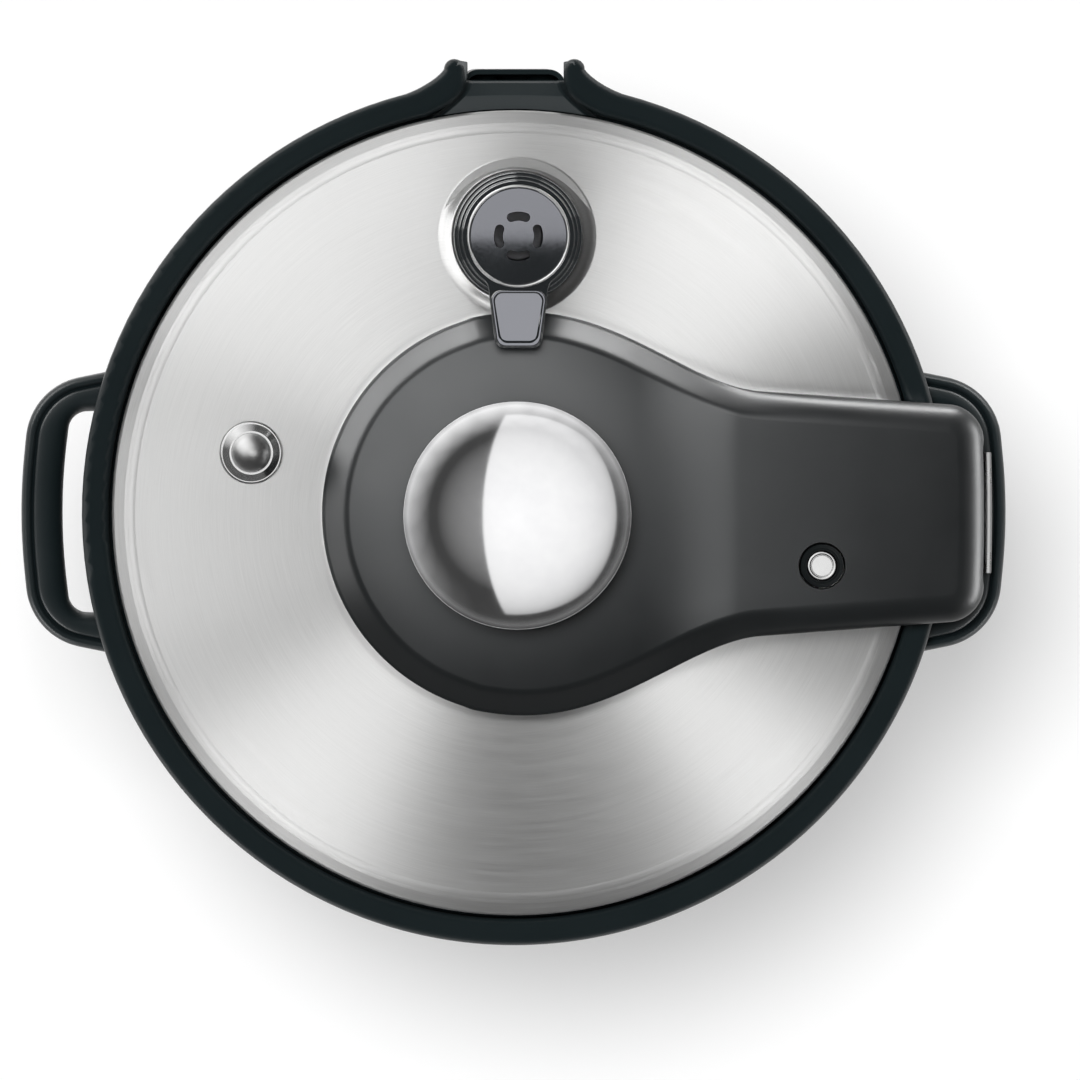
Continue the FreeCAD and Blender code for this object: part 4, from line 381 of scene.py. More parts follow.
def moulded(name, dark, light, roughness, grain, relief, extra=None):
    """Moulded plastic or rubber: a fine grain in relief, with a slow drift in tone and gloss."""
    material, tree, shader = surface(name, extra or {})
    drift = noise(tree, place(tree), 38, 3.0)
    pores = noise(tree, place(tree), grain, 2.0, 0.6)
    vary(tree, shader, blend(tree, drift, pores, 0.6), dark, light, roughness - 0.05, roughness + 0.05)
    dent(tree, shader, pores, relief, 0.05 * MM)
    return material


def smoked_glass(name):
    material, tree, shader = surface(name, {"Transmission Weight": 1.0, "IOR": 1.5, "Roughness": 0.02})
    cloud = noise(tree, place(tree), 30, 2.0)
    tree.links.new(tint(tree, cloud, (0.42, 0.45, 0.48), (0.5, 0.53, 0.56)), shader.inputs["Base Color"])
    return material


def circuit_board(name):
    """Green solder mask with pale tracks under it."""
    material, tree, shader = surface(name, {"Roughness": 0.35, "Coat Weight": 0.4})
    values = {"Vector": place(tree), "Scale": 180.0, "Mortar Size": 0.03}
    tracks = add(tree, "ShaderNodeTexBrick", values).outputs["Fac"]
    tree.links.new(tint(tree, tracks, (0.006, 0.07, 0.022), (0.02, 0.16, 0.06)), shader.inputs["Base Color"])
    dent(tree, shader, tracks, 0.3, 0.05 * MM)
    return material


def glowing(name, colour, strength):
    material, tree, shader = surface(name, {"Base Color": (*colour, 1), "Roughness": 0.4})
    flicker = noise(tree, place(tree), 400, 1.0)
    tree.links.new(spread(tree, flicker, strength * 0.9, strength), shader.inputs["Emission Strength"])
    shader.inputs["Emission Color"].default_value = (*colour, 1)
    return material


# Each material's darkest and lightest colour and its roughness, then what its function takes
TURNED = {
    "lid_steel": ((0.60, 0.60, 0.595), (0.70, 0.70, 0.695), 0.36, 0.88),
    "wall_steel": ((0.56, 0.56, 0.555), (0.66, 0.66, 0.655), 0.33, 0.7),
}
ROLLED = {
    "plain_steel": ((0.50, 0.50, 0.50), (0.62, 0.62, 0.615), 0.36),
    "cast_aluminium": ((0.60, 0.60, 0.61), (0.70, 0.70, 0.71), 0.45),
}
POLISHED = {
    "chrome": ((0.80, 0.80, 0.81), (0.86, 0.86, 0.865), 0.09),
    "bright_steel": ((0.62, 0.62, 0.62), (0.74, 0.74, 0.735), 0.16),
    "worn_steel": ((0.58, 0.58, 0.58), (0.74, 0.74, 0.735), 0.3),
    "brass": ((0.60, 0.43, 0.17), (0.72, 0.54, 0.25), 0.28),
}
MOULDED = {
    "rim_plastic": ((0.0065, 0.0105, 0.0118), (0.009, 0.0138, 0.0152), 0.42, 2600, 0.12),
    "arm_plastic": ((0.0105, 0.0117, 0.0123), (0.0132, 0.0147, 0.0154), 0.38, 2800, 0.08,
                    {"Specular IOR Level": 0.12}),
    "dark_plastic": ((0.006, 0.0075, 0.008), (0.009, 0.011, 0.0115), 0.5, 2200, 0.2),
    "disc_gloss": ((0.010, 0.012, 0.0135), (0.013, 0.0155, 0.017), 0.07, 900, 0.01, {"IOR": 2.0}),
    "panel_gloss": ((0.006, 0.006, 0.0065), (0.008, 0.008, 0.0085), 0.12, 900, 0.01,
                    {"Coat Weight": 0.5, "Coat Roughness": 0.04}),
    "button_silver": ((0.50, 0.51, 0.52), (0.58, 0.59, 0.60), 0.3, 3000, 0.05, {"Metallic": 0.8}),
    "rubber": ((0.010, 0.010, 0.010), (0.016, 0.016, 0.016), 0.75, 1500, 0.3),
    "silicone": ((0.42, 0.42, 0.40), (0.52, 0.52, 0.50), 0.5, 900, 0.15,
                 {"Subsurface Weight": 0.2, "Subsurface Scale": 2 * MM}),
    "lead_sleeve": ((0.30, 0.02, 0.015), (0.42, 0.035, 0.025), 0.5, 1500, 0.2),
    "iron": ((0.03, 0.03, 0.032), (0.06, 0.06, 0.06), 0.45, 700, 0.3, {"Metallic": 0.6}),
    "print_white": ((0.62, 0.63, 0.64), (0.7, 0.71, 0.72), 0.5, 2000, 0.05),
    "print_dark": ((0.02, 0.02, 0.022), (0.03, 0.03, 0.032), 0.5, 2000, 0.05),
}


def make_materials():
    made = {
        "display_glass": smoked_glass("display_glass"),
        "circuit_board": circuit_board("circuit_board"),
        "digit_light": glowing("digit_light", (0.75, 0.88, 1.0), 2.2),
    }
    kinds = ((turned_steel, TURNED), (rolled_steel, ROLLED), (polished_metal, POLISHED), (moulded, MOULDED))
    for make, table in kinds:
        for name, values in table.items():
            made[name] = make(name, *values)
    return made


FINISHES = {
    "lid_steel": ("lid_cover",),
    "wall_steel": ("body_wrap", "inner_pot", "dial"),
    "plain_steel": ("base_screws", "handle_screws", "frame_screws", "liner", "bayonet_ring", "thermal_fuse",
                    "sensor_cup", "sensor_spring", "hinge_pin", "arm_frame", "pressure_lid", "lid_posts",
                    "vent_pipe", "vent_shield", "valve_weight", "lock_shaft", "lock_ring"),
    "bright_steel": ("hinge_bracket", "safety_body", "float_pin"),
    "worn_steel": ("safety_cap",),
    "cast_aluminium": ("heating_plate", "sensor_plunger"),
    "chrome": ("lock_knob",),
    "brass": ("shaft_bush",),
    "rim_plastic": ("top_rim", "left_handle", "right_handle", "condensation_cup", "cup_bracket"),
    "arm_plastic": ("arm_cover",),
    "dark_plastic": ("base_moulding", "base_plate", "valve_collar", "float_guide", "knob_core", "mains_inlet",
                     "dial_encoder"),
    "disc_gloss": ("valve_cap", "valve_disc"),
    "panel_gloss": ("control_panel", "display_module", "mains_relay"),
    "button_silver": ("keep_warm_button", "steam_button", "start_button", "cancel_button"),
    "rubber": ("foot_ring",),
    "silicone": ("gasket", "float_seal"),
    "lead_sleeve": ("heater_leads",),
    "iron": ("transformer",),
    "display_glass": ("display_window",),
    "circuit_board": ("control_board", "power_board"),
}


def dress_nodes(materials):
    for finish, names in FINISHES.items():
        for name in names:
            mesh = nodes[name].data
            mesh.materials.clear()
            mesh.materials.append(materials[finish])


# Mesh helpers

def placed(name, data):
    """An object with this data, in the scene."""
    thing = bpy.data.objects.new(name, data)
    bpy.context.scene.collection.objects.link(thing)
    return thing


def new_piece(name, points, faces, material, body, degrees=None):
    """A piece on a body, closed up. Where degrees are given, edges up to that angle are smooth."""
    mesh = bpy.data.meshes.new(name)
    mesh.from_pydata(points, [], faces)
    mesh.materials.append(material)
    piece = placed(name, mesh)
    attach(piece, body)
    tidy_mesh(piece)
    if degrees:
        smooth(piece, degrees)
    return piece


def tidy_mesh(piece):
    """Merges points that coincide, drops faces with no area and turns the faces outwards."""
    work = bmesh.new()
    work.from_mesh(piece.data)
    bmesh.ops.remove_doubles(work, verts=work.verts, dist=0.002 * MM)
    bmesh.ops.dissolve_degenerate(work, edges=work.edges, dist=0.001 * MM)
    bmesh.ops.recalc_face_normals(work, faces=work.faces)
    work.to_mesh(piece.data)
    work.free()


def smooth(piece, degrees):
    piece.data.shade_smooth()
    piece.data.set_sharp_from_angle(angle=math.radians(degrees))


def soften(piece, width):
    """Rounds a piece's edges."""
    work = bmesh.new()
    work.from_mesh(piece.data)
    sharp = [e for e in work.edges if len(e.link_faces) == 2 and e.calc_face_angle() > math.radians(15)]
    bmesh.ops.bevel(work, geom=sharp, offset=width, segments=3, profile=0.5, affect="EDGES",
                    clamp_overlap=True)
    work.to_mesh(piece.data)
    work.free()


def cutter(outline, lift):
    """A solid to cut with: an outline, in order, swept along a vector."""
    count = len(outline)
    points = [Vector(p) for p in outline] + [Vector(p) + lift for p in outline]
    faces = [tuple(range(count))[::-1], tuple(range(count, 2 * count))]
    for i in range(count):
        j = (i + 1) % count
        faces.append((i, j, j + count, i + count))
    mesh = bpy.data.meshes.new("cutter")
    mesh.from_pydata(points, [], faces)
    mesh.update()
    return placed("cutter", mesh)


def cut_away(piece, solids):
    """Cuts solids out of a piece and removes them."""
    bpy.context.view_layer.update()
    for solid in solids:
        modifier = piece.modifiers.new("cut", "BOOLEAN")
        modifier.operation = "DIFFERENCE"
        modifier.solver = "EXACT"
        modifier.object = solid
    depsgraph = bpy.context.evaluated_depsgraph_get()
    mesh = bpy.data.meshes.new_from_object(piece.evaluated_get(depsgraph))
    piece.modifiers.clear()
    old = piece.data
    piece.data = mesh
    mesh.name = old.name
    bpy.data.meshes.remove(old)
    for solid in solids:
        bpy.data.objects.remove(solid)


def loop_faces(rows, count, joined=False, capped=True):
    """Faces between rows of points that are closed loops. Joined rows run round to the first one."""
    faces = []
    for k in range(rows if joined else rows - 1):
        n = (k + 1) % rows
        for i in range(count):
            j = (i + 1) % count
            faces.append((k * count + i, n * count + i, n * count + j, k * count + j))
    if capped and not joined:
        faces += [tuple(range(count)), tuple(range((rows - 1) * count, rows * count))]
    return faces


def spun(profile, centre):
    """The points of a profile of (radius, height), spun round an upright axis."""
    points = []
    for k in range(TURN_STEPS):
        angle = math.tau * k / TURN_STEPS
        c, s = math.cos(angle), math.sin(angle)
        points += [(centre.x + r * c, centre.y + r * s, z) for r, z in profile]
    return points


def lathe(name, profile, centre, material, body):
    """A turned piece from a closed outline of (radius, height) points."""
    faces = loop_faces(TURN_STEPS, len(profile), joined=True)
    return new_piece(name, spun(profile, centre), faces, material, body, 40)


def raised(section, base_z):
    """A section written in millimetres over a level."""
    return [(r * MM, base_z + z * MM) for r, z in section]


def circle(x, y, r, steps=24):
    angles = [math.tau * k / steps for k in range(steps)]
    return [(x + r * math.cos(angle), y + r * math.sin(angle)) for angle in angles]


def rectangle(low, high):
    return [(low[0], low[1]), (high[0], low[1]), (high[0], high[1]), (low[0], high[1])]


def rounded_corners(corners, usual, steps=8):
    """A closed outline with round corners, from corners in order as (u, v) or (u, v, radius)."""
    outline = []
    count = len(corners)
    flat = [Vector(corner[:2]) for corner in corners]
    for i in range(count):
        corner = flat[i]
        radius = corners[i][2] if len(corners[i]) > 2 else usual
        if radius == 0:
            outline.append(corner)
            continue
        before = (flat[i - 1] - corner).normalized()
        after = (flat[(i + 1) % count] - corner).normalized()
        half = before.angle(after) / 2
        reach = radius / math.tan(half)
        centre = corner + (before + after).normalized() * radius / math.sin(half)
        first = corner + before * reach - centre
        last = corner + after * reach - centre
        turn = first.angle_signed(last)
        for k in range(steps + 1):
            angle = -turn * k / steps
            c, s = math.cos(angle), math.sin(angle)
            outline.append(centre + Vector((first.x * c - first.y * s, first.x * s + first.y * c)))
    return outline


def even_path(path, count):
    """Evenly spaced points along a line of points."""
    travel = [0.0]
    for a, b in zip(path, path[1:]):
        travel.append(travel[-1] + (b - a).length)
    points = []
    k = 0
    for i in range(count + 1):
        goal = travel[-1] * i / count
        while k < len(path) - 2 and travel[k + 1] < goal:
            k += 1
        share = (goal - travel[k]) / (travel[k + 1] - travel[k])
        points.append(path[k].lerp(path[k + 1], min(share, 1)))
    return points


def middle_of(name):
    low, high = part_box(name)
    return (low + high) / 2


# The arm

def arm_distance(x, y):
    """Signed distance from the outline in plan of the hub and the arm, negative inside."""
    hub = math.hypot(x - HUB_X, y) - HUB_R
    length = ARM_END_X - HUB_X
    slope = (ARM_ROOT_HALF - ARM_END_HALF) / length
    side = (abs(y) - ARM_ROOT_HALF + slope * (x - HUB_X)) / math.hypot(1, slope)
    end = x - ARM_END_X + ARM_END_BOW * (y / ARM_END_HALF) ** 2
    corner = math.hypot(max(side + ARM_CORNER_R, 0), max(end + ARM_CORNER_R, 0))
    arm = corner + min(max(side, end) + ARM_CORNER_R, 0) - ARM_CORNER_R
    arm = max(arm, HUB_X - x)
    neck = math.hypot(max(ARM_NECK_R - hub, 0), max(ARM_NECK_R - arm, 0))
    return max(ARM_NECK_R, min(hub, arm)) - neck


def arm_reach(angle):
    """How far the arm's outline lies from the knob's axis in this direction."""
    low, high = 0.0, 0.3
    for _ in range(50):
        middle = (low + high) / 2
        if arm_distance(middle * math.cos(angle), middle * math.sin(angle)) < 0:
            low = middle
        else:
            high = middle
    return low


def arm_outline():
    """Evenly spaced points on the outline's half with y > 0, from the hinge end to the hub's far side."""
    rough = [math.pi * i / 3000 for i in range(3001)]
    path = [Vector((arm_reach(a) * math.cos(a), arm_reach(a) * math.sin(a))) for a in rough]
    path[0].y = 0
    path[-1].y = 0
    return even_path(path, OUTLINE_POINTS)


def arm_top(x):
    """Height of the arm's top: level over the hub, then falling in an arc to the hinge end."""
    run = ARM_END_X - ARM_LEVEL_X
    arc_r = (run ** 2 + ARM_FALL ** 2) / (2 * ARM_FALL)
    past = max(0.0, x - ARM_LEVEL_X)
    return ARM_TOP_Z - arc_r + math.sqrt(arc_r ** 2 - past ** 2)


def lid_dome(x, y):
    """Height of the lid's domed sheet."""
    dome_r = (LID_DOME_REACH ** 2 + LID_DOME_RISE ** 2) / (2 * LID_DOME_RISE)
    reach = min(math.hypot(x, y), LID_DOME_REACH)
    return LID_CROWN_Z - dome_r + math.sqrt(dome_r ** 2 - reach ** 2)


def arm_underside(x, y, hinge):
    """Height of the arm's lower edge: on the lid's dome, over the rim, and round the hinge axis."""
    heel_x = hinge.x - HEEL_R
    if x > heel_x:
        return hinge.z - math.sqrt(max(0.0, HEEL_R ** 2 - (x - hinge.x) ** 2))
    return max(lid_dome(x, y) + LID_GAP, RIM_TOP_Z + OVER_RIM)


def hub_crown(x, y):
    """How far the hub's top falls from its middle towards its edge, fading out along the arm."""
    past = max(0.0, math.hypot(x - HUB_X, y) - CROWN_START_R)
    share = 1 - ease((x - CROWN_FADE_X) / CROWN_FADE)
    return share * past ** 2 / (2 * CROWN_R)


def ease(t):
    t = min(max(t, 0), 1)
    return t * t * (3 - 2 * t)


def shoulder(share):
    """The shoulder's height as a share of its drop: a round edge, a slope and a fold into the top."""
    if share < EDGE_SHARE:
        return EDGE_RISE * math.sqrt(1 - (1 - share / EDGE_SHARE) ** 2)
    if share < FOLD_SHARE:
        return EDGE_RISE + (FOLD_RISE - EDGE_RISE) * (share - EDGE_SHARE) / (FOLD_SHARE - EDGE_SHARE)
    return FOLD_RISE + (1 - FOLD_RISE) * (1 - ((1 - share) / (1 - FOLD_SHARE)) ** 2)


def end_shoulder(share):
    """The same over the arm's end, where the top rolls over in a quarter of an ellipse."""
    return math.sqrt(1 - (1 - share) ** 2)


def arm_points(outline, hinge):
    """Rings of points round the arm, from the middle line of its underside to that of its top."""
    near_end = [ease((p.x - END_START_X) / (END_FULL_X - END_START_X)) for p in outline]
    axis = [Vector((min(max(p.x, HUB_X), AXIS_END_X), 0)) for p in outline]
    slopes = []
    for i, near in enumerate(near_end):
        along = outline[(i + 1) % len(outline)] - outline[i - 1]
        inward = Vector((-along.y, along.x)).normalized()
        slopes.append(inward * (SHOULDER_WIDTH + (END_SHOULDER_WIDTH - SHOULDER_WIDTH) * near))
    points = []
    for share in (1.0, 0.75, 0.5, 0.25, 0.0):
        spots = [p.lerp(a, share) for p, a in zip(outline, axis)]
        points += [(*p, arm_underside(p.x, p.y, hinge)) for p in spots]
    for share in SHOULDER_SHARES:
        fall = SHOULDER_DROP * (1 - shoulder(share))
        end_fall = END_SHOULDER_DROP * (1 - end_shoulder(share))
        for p, slope, near in zip(outline, slopes, near_end):
            spot = p + slope * share
            points.append((*spot, arm_top(spot.x) - hub_crown(*spot) - (fall + near * (end_fall - fall))))
    for share in (0.2, 0.4, 0.6, 0.8, 1.0):
        spots = [(p + slope).lerp(a, share) for p, slope, a in zip(outline, slopes, axis)]
        points += [(*p, arm_top(p.x) - hub_crown(*p)) for p in spots]
    return points


def arm_cutters(hinge):
    """Solids for the window and the notch at the hinge bracket, and for the float's hole."""
    corners = rectangle((-WINDOW_HALF, hinge.z - 4 * HEEL_R), (WINDOW_HALF, hinge.z + WINDOW_RISE))
    window_x = hinge.x - HEEL_R - WINDOW_LEAD
    window = [(window_x, u, v) for u, v in rounded_corners(corners, WINDOW_CORNER_R)]
    notch_x = ARM_END_X - NOTCH_DEPTH
    corners = rectangle((notch_x, -WINDOW_HALF), (notch_x + CUT_LENGTH / 2, WINDOW_HALF))
    notch = [(u, v, NOTCH_LOW_Z) for u, v in rounded_corners(corners, NOTCH_CORNER_R)]
    low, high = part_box("float_guide")
    middle = (low + high) / 2
    hole_r = (high.x - low.x) / 2 + FLOAT_HOLE_GAP
    hole = [(u, v, FLOAT_HOLE_LOW_Z) for u, v in circle(middle.x, middle.y, hole_r, 64)]
    up = Vector((0, 0, CUT_LENGTH))
    return [cutter(window, Vector((CUT_LENGTH, 0, 0))), cutter(notch, up), cutter(hole, up)]


def lid_arm(material):
    """The dark moulding over the lid: the round hub and the arm to the hinge."""
    hinge = Vector(next(j for j in frame["joints"] if j["name"] == "lid_hinge")["pos_m"])
    half = arm_outline()
    outline = half + [Vector((p.x, -p.y)) for p in half[-2:0:-1]]
    points = arm_points(outline, hinge)
    faces = loop_faces(len(points) // len(outline), len(outline), capped=False)
    arm = new_piece("lid_arm", points, faces, material, "lid")
    cut_away(arm, arm_cutters(hinge))
    smooth(arm, 35)
    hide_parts("arm_cover")
    return arm


# Handles

def handle_path(root_x, half, corner, peak):
    """A handle's edge in plan, from root to root round its bowed side."""
    x, y, r = corner
    corners = [(root_x, -half, 0), (x, -y, r), (peak[0], 0, peak[1]), (x, y, r), (root_x, half, 0)]
    return rounded_corners(corners, 0, 16)


def crossing(start, heading, path):
    """How far from start, along heading, the first crossing of a path lies."""
    best = None
    for a, b in zip(path, path[1:]):
        edge = b - a
        det = heading.x * edge.y - heading.y * edge.x
        if abs(det) < 1e-12:
            continue
        gap = a - start
        reach = (gap.x * edge.y - gap.y * edge.x) / det
        along = (gap.x * heading.y - gap.y * heading.x) / det
        if reach > 0 and -0.001 <= along <= 1.001 and (best is None or reach < best):
            best = reach
    return best


def grip_section(width, low_z, top_z):
    """The handle's section as (inset, height): an outer lip, a groove and a grip with a round inner side."""
    foot = [(2.0, 0), (0.6, 0.5), (0, 2)]
    lip = [(0, -2.6), (0.25, -1.3), (0.9, -0.4), (1.7, -0.05), (2.5, -0.2), (3.0, -0.7), (3.2, -1.6),
           (3.6, -2.1), (4.0, -1.7), (4.15, -0.9), (4.4, -0.55), (5.0, -0.3), (6.2, -0.06)]
    section = raised(foot, low_z) + raised(lip, top_z)
    for k in range(9):
        angle = math.radians(90 * k / 8)
        section.append((CROWN_INSET + (width - CROWN_INSET) * math.sin(angle),
                        top_z - GRIP_ROUND * (1 - math.cos(angle))))
    return section + [(width - inset, z) for inset, z in raised(foot[::-1], low_z)]


def socket_cutter():
    """A solid for the socket that the hinge bracket stands in."""
    web_low, web_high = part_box("hinge_bracket")
    edge_x = web_high.x + SOCKET_GAP
    half = web_high.y + SOCKET_GAP
    low_z = web_low.z - 2 * SOCKET_GAP
    corners = rectangle((edge_x - SOCKET_DEPTH, -half), (edge_x, half))
    return cutter([(x, y, low_z) for x, y in corners], Vector((0, 0, CUT_LENGTH)))


def grip(name, node, side, material):
    """A handle, swept along its outer edge. Side is 1 on the right and -1 on the left."""
    low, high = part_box(node)
    outer = even_path(handle_path(HANDLE_ROOT_X, HANDLE_HALF, HANDLE_CORNER, HANDLE_PEAK), GRIP_STEPS)
    inner = handle_path(GAP_ROOT_X, GAP_HALF, GAP_CORNER, GAP_PEAK)
    points = []
    for i in range(GRIP_STEPS + 1):
        along = outer[min(i + 1, GRIP_STEPS)] - outer[max(i - 1, 0)]
        inward = Vector((-along.y, along.x)).normalized()
        section = grip_section(crossing(outer[i], inward, inner), low.z, high.z)
        for inset, z in section:
            spot = outer[i] + inward * inset
            points.append((side * spot.x, spot.y, z))
    faces = loop_faces(GRIP_STEPS + 1, len(section))
    piece = new_piece(name, points, faces, material, "housing")
    skirt = [(x, y, SKIRT_LOW_Z) for x, y in circle(0, 0, GRIP_SEAT_R, 256)]
    cutters = [cutter(skirt, Vector((0, 0, 2 * CUT_LENGTH)))]
    if side > 0:
        cutters.append(socket_cutter())
    cut_away(piece, cutters)
    smooth(piece, 40)
    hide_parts(node)
    return piece


# Lid fittings

def tapered(root_half, end_half, start, end, radius):
    """A tapered outline that runs to the front, with round corners."""
    corners = [(-root_half, -start), (-end_half, -end), (end_half, -end), (root_half, -start)]
    return rounded_corners(corners, radius)


def tail_tab(centre, top_z, material):
    """The raised rim and the sunk pad on the steam valve's tail."""
    taper = (TAIL_ROOT_HALF - TAIL_END_HALF) / TAIL_END
    root = TAIL_ROOT_HALF - taper * TAIL_START
    outer = tapered(root, TAIL_END_HALF, TAIL_START, TAIL_END, TAIL_CORNER_R)
    pad = tapered(PAD_ROOT_HALF, PAD_END_HALF, PAD_START, PAD_END, PAD_CORNER_R)
    rings = [(0.12, -0.6), (0.12, 0.0), (0.2, 0.3), (0.35, 0.46), (0.52, 0.42), (0.66, 0.25), (0.78, 0.02),
             (0.86, 0.02), (1.0, 0.12)]
    points = []
    for share, lift in rings:
        spots = [a.lerp(b, share) for a, b in zip(outer, pad)]
        points += [(centre.x + spot.x, centre.y + spot.y, top_z + lift * MM) for spot in spots]
    faces = loop_faces(len(rings), len(outer))
    return new_piece("valve_tab", points, faces, material, "steam_cap", 40)


def lid_boss(centre, material):
    """The pressed steel ring round the steam valve's foot, which follows the lid's dome."""
    section = [(22.3, -3), (22.3, 1.7), (22.5, 1.95), (22.8, 2.0), (23.2, 1.85), (23.9, 1.3), (24.6, 0.75),
               (25.2, 0.4), (25.9, 0.16), (26.6, 0.05), (27.3, 0.01), (27.4, -0.9)]
    points = [(x, y, lid_dome(x, y) + lift) for x, y, lift in spun(raised(section, 0), centre)]
    faces = loop_faces(TURN_STEPS, len(section), joined=True)
    return new_piece("valve_boss", points, faces, material, "lid", 50)


def valve_trim(materials):
    """The bright bezel, the ringed skirt, the tail's pad and the steel ring of the steam valve."""
    centre = middle_of("valve_disc")
    disc_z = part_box("valve_disc")[1].z
    cap_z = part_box("valve_cap")[1].z
    gloss, bright = materials["disc_gloss"], materials["bright_steel"]
    bezel = [(16.7, -0.9), (16.7, -0.1), (16.8, 0.1), (17.0, 0.22), (17.3, 0.24), (17.55, 0.12),
             (17.72, -0.1), (17.8, -0.9)]
    skirt = [(17.85, -1.2), (17.85, 0.02), (18.7, 0.02), (19.1, -0.15), (19.3, -0.5), (19.4, -1.3),
             (19.65, -1.55), (20.2, -1.6), (20.55, -1.8), (20.75, -2.2), (20.85, -3.2), (21.1, -3.5),
             (21.6, -3.55), (21.95, -3.8), (22.1, -4.3), (22.1, -9.3), (19.5, -9.3), (19.5, -1.8)]
    return {
        "bezel": lathe("valve_bezel", raised(bezel, disc_z), centre, bright, "steam_cap"),
        "skirt": lathe("valve_skirt", raised(skirt, cap_z), centre, gloss, "steam_cap"),
        "tab": tail_tab(centre, cap_z, gloss),
        "boss": lid_boss(centre, materials["lid_steel"]),
    }


def float_trim(materials):
    """The turned head of the float pin, which it returns, and the ringed bush round it."""
    centre = middle_of("float_guide")
    ring_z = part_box("float_guide")[1].z
    head_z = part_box("float_pin")[1].z
    head = [(0, -0.6), (5.05, -0.6), (5.05, 0.35), (4.9, 0.55), (4.65, 0.62), (4.0, 0.62), (3.88, 0.52),
            (3.82, 0.25), (3.7, 0.25), (3.62, 0.55), (3.5, 0.66), (0, 0.68)]
    ring = [(5.35, -2), (5.35, 0.05), (5.45, 0.2), (5.65, 0.22), (5.75, 0.05), (5.95, 0.05), (6.05, 0.2),
            (6.3, 0.2), (6.45, 0.05), (7.0, 0.0), (7.25, -0.15), (7.35, -0.5), (7.35, -2)]
    bright, dark = materials["bright_steel"], materials["dark_plastic"]
    pin_head = lathe("float_head", raised(head, head_z), centre, bright, "float")
    lathe("float_bush", raised(ring, ring_z), centre, dark, "lid")
    return pin_head


def hinge_strip(material):
    """The bowed bright strip along the top of the hinge bracket."""
    web_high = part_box("hinge_bracket")[1]
    half = web_high.y + STRIP_OVERHANG
    middle_x = web_high.x - STRIP_INSET
    section = rounded_corners(rectangle(*STRIP_CORNERS), STRIP_CORNER_R, 3)
    points = []
    for k in range(STRIP_STEPS + 1):
        y = half * (2 * k / STRIP_STEPS - 1)
        points += [(middle_x + u * MM - STRIP_BOW * (y / half) ** 2, y, v * MM) for u, v in section]
    faces = loop_faces(STRIP_STEPS + 1, len(section))
    return new_piece("hinge_strip", points, faces, material, "hinge_mount", 40)


def knob_outline(foot_z, top_z, widest, inset):
    """The knob's section from its foot to its peak, drawn in by an inset."""
    waist_z = foot_z + KNOB_WAIST
    start = Vector((KNOB_NECK_R - inset, foot_z))
    pull_r = KNOB_NECK_R + (widest - KNOB_NECK_R) * KNOB_FULLNESS
    pull = Vector((pull_r - inset, foot_z + 1 * MM + inset / 2))
    push = Vector((widest - inset, (foot_z + waist_z) / 2))
    stop = Vector((widest - inset, waist_z))
    outline = []
    for k in range(KNOB_STEPS + 1):
        t = k / KNOB_STEPS
        outline.append(start * (1 - t) ** 3 + pull * 3 * t * (1 - t) ** 2
                       + push * 3 * t * t * (1 - t) + stop * t ** 3)
    dome_r = KNOB_DOME_R - inset
    dome_z = top_z - KNOB_DOME_R
    lean = math.asin((KNOB_RIM - inset) / dome_r)
    rim = Vector((dome_r * math.sin(lean), dome_z + dome_r * math.cos(lean)))
    edge = Vector((widest - inset, rim.y - 0.2 * MM))
    outline += [stop.lerp(edge, 0.6), edge - Vector((0.02 * MM, 0.15 * MM))]
    outline.append(rim + Vector((0.08 * MM, -0.06 * MM)))
    for k in range(DOME_STEPS + 1):
        angle = lean * (1 - k / DOME_STEPS)
        outline.append(Vector((dome_r * math.sin(angle), dome_z + dome_r * math.cos(angle))))
    return outline


def lock_dome(material):
    """The bright hollow knob in the middle, with a tight edge to its dome."""
    low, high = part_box("lock_knob")
    widest = (high.x - low.x) / 2
    profile = knob_outline(low.z, high.z, widest, 0)
    profile += knob_outline(low.z, high.z, widest, KNOB_WALL)[::-1]
    dome = lathe("lock_dome", profile, middle_of("lock_knob"), material, "lock")
    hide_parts("lock_knob")
    return dome


def sensor_coil(material):
    """The spring under the temperature sensor, with a mesh of its own."""
    low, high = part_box("sensor_spring")
    wire = COIL_WIRE_R
    radius = (high.x - low.x) / 2 - wire
    rise = high.z - low.z - 2 * wire
    steps = COIL_TURNS * COIL_STEPS
    points = []
    for k in range(steps + 1):
        turn = math.tau * k / COIL_STEPS
        for i in range(COIL_SIDES):
            round_wire = math.tau * i / COIL_SIDES
            r = radius + wire * math.cos(round_wire)
            points.append((r * math.cos(turn), r * math.sin(turn),
                           low.z + wire + rise * k / steps + wire * math.sin(round_wire)))
    faces = loop_faces(steps + 1, COIL_SIDES)
    coil = new_piece("sensor_coil", points, faces, material, "housing", 40)
    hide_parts("sensor_spring")
    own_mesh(coil)


def lid_bead(material):
    """The fine raised ring just inside the lid's bevel."""
    section = [(131.0, -0.3), (131.0, 0.0), (131.6, 0.09), (132.3, 0.13), (133.0, 0.09), (133.6, 0.0),
               (133.6, -0.3)]
    profile = [(r, lid_dome(r, 0) + lift) for r, lift in raised(section, 0)]
    return lathe("lid_bead", profile, Vector((0, 0, 0)), material, "lid")


# The spout

def trough_floor(share):
    """Height of the spout's floor from the lid to its lip: a level part, a slope and a round edge."""
    steps = [(0, 250.4), (0.49, 250.1), (0.5, 250.08), (0.92, 248.75), (0.96, 248.5), (0.985, 248.1),
             (1, 247.4)]
    for (a, low_z), (b, high_z) in zip(steps, steps[1:]):
        if share <= b:
            return (low_z + (high_z - low_z) * (share - a) / (b - a)) * MM
    return steps[-1][1] * MM


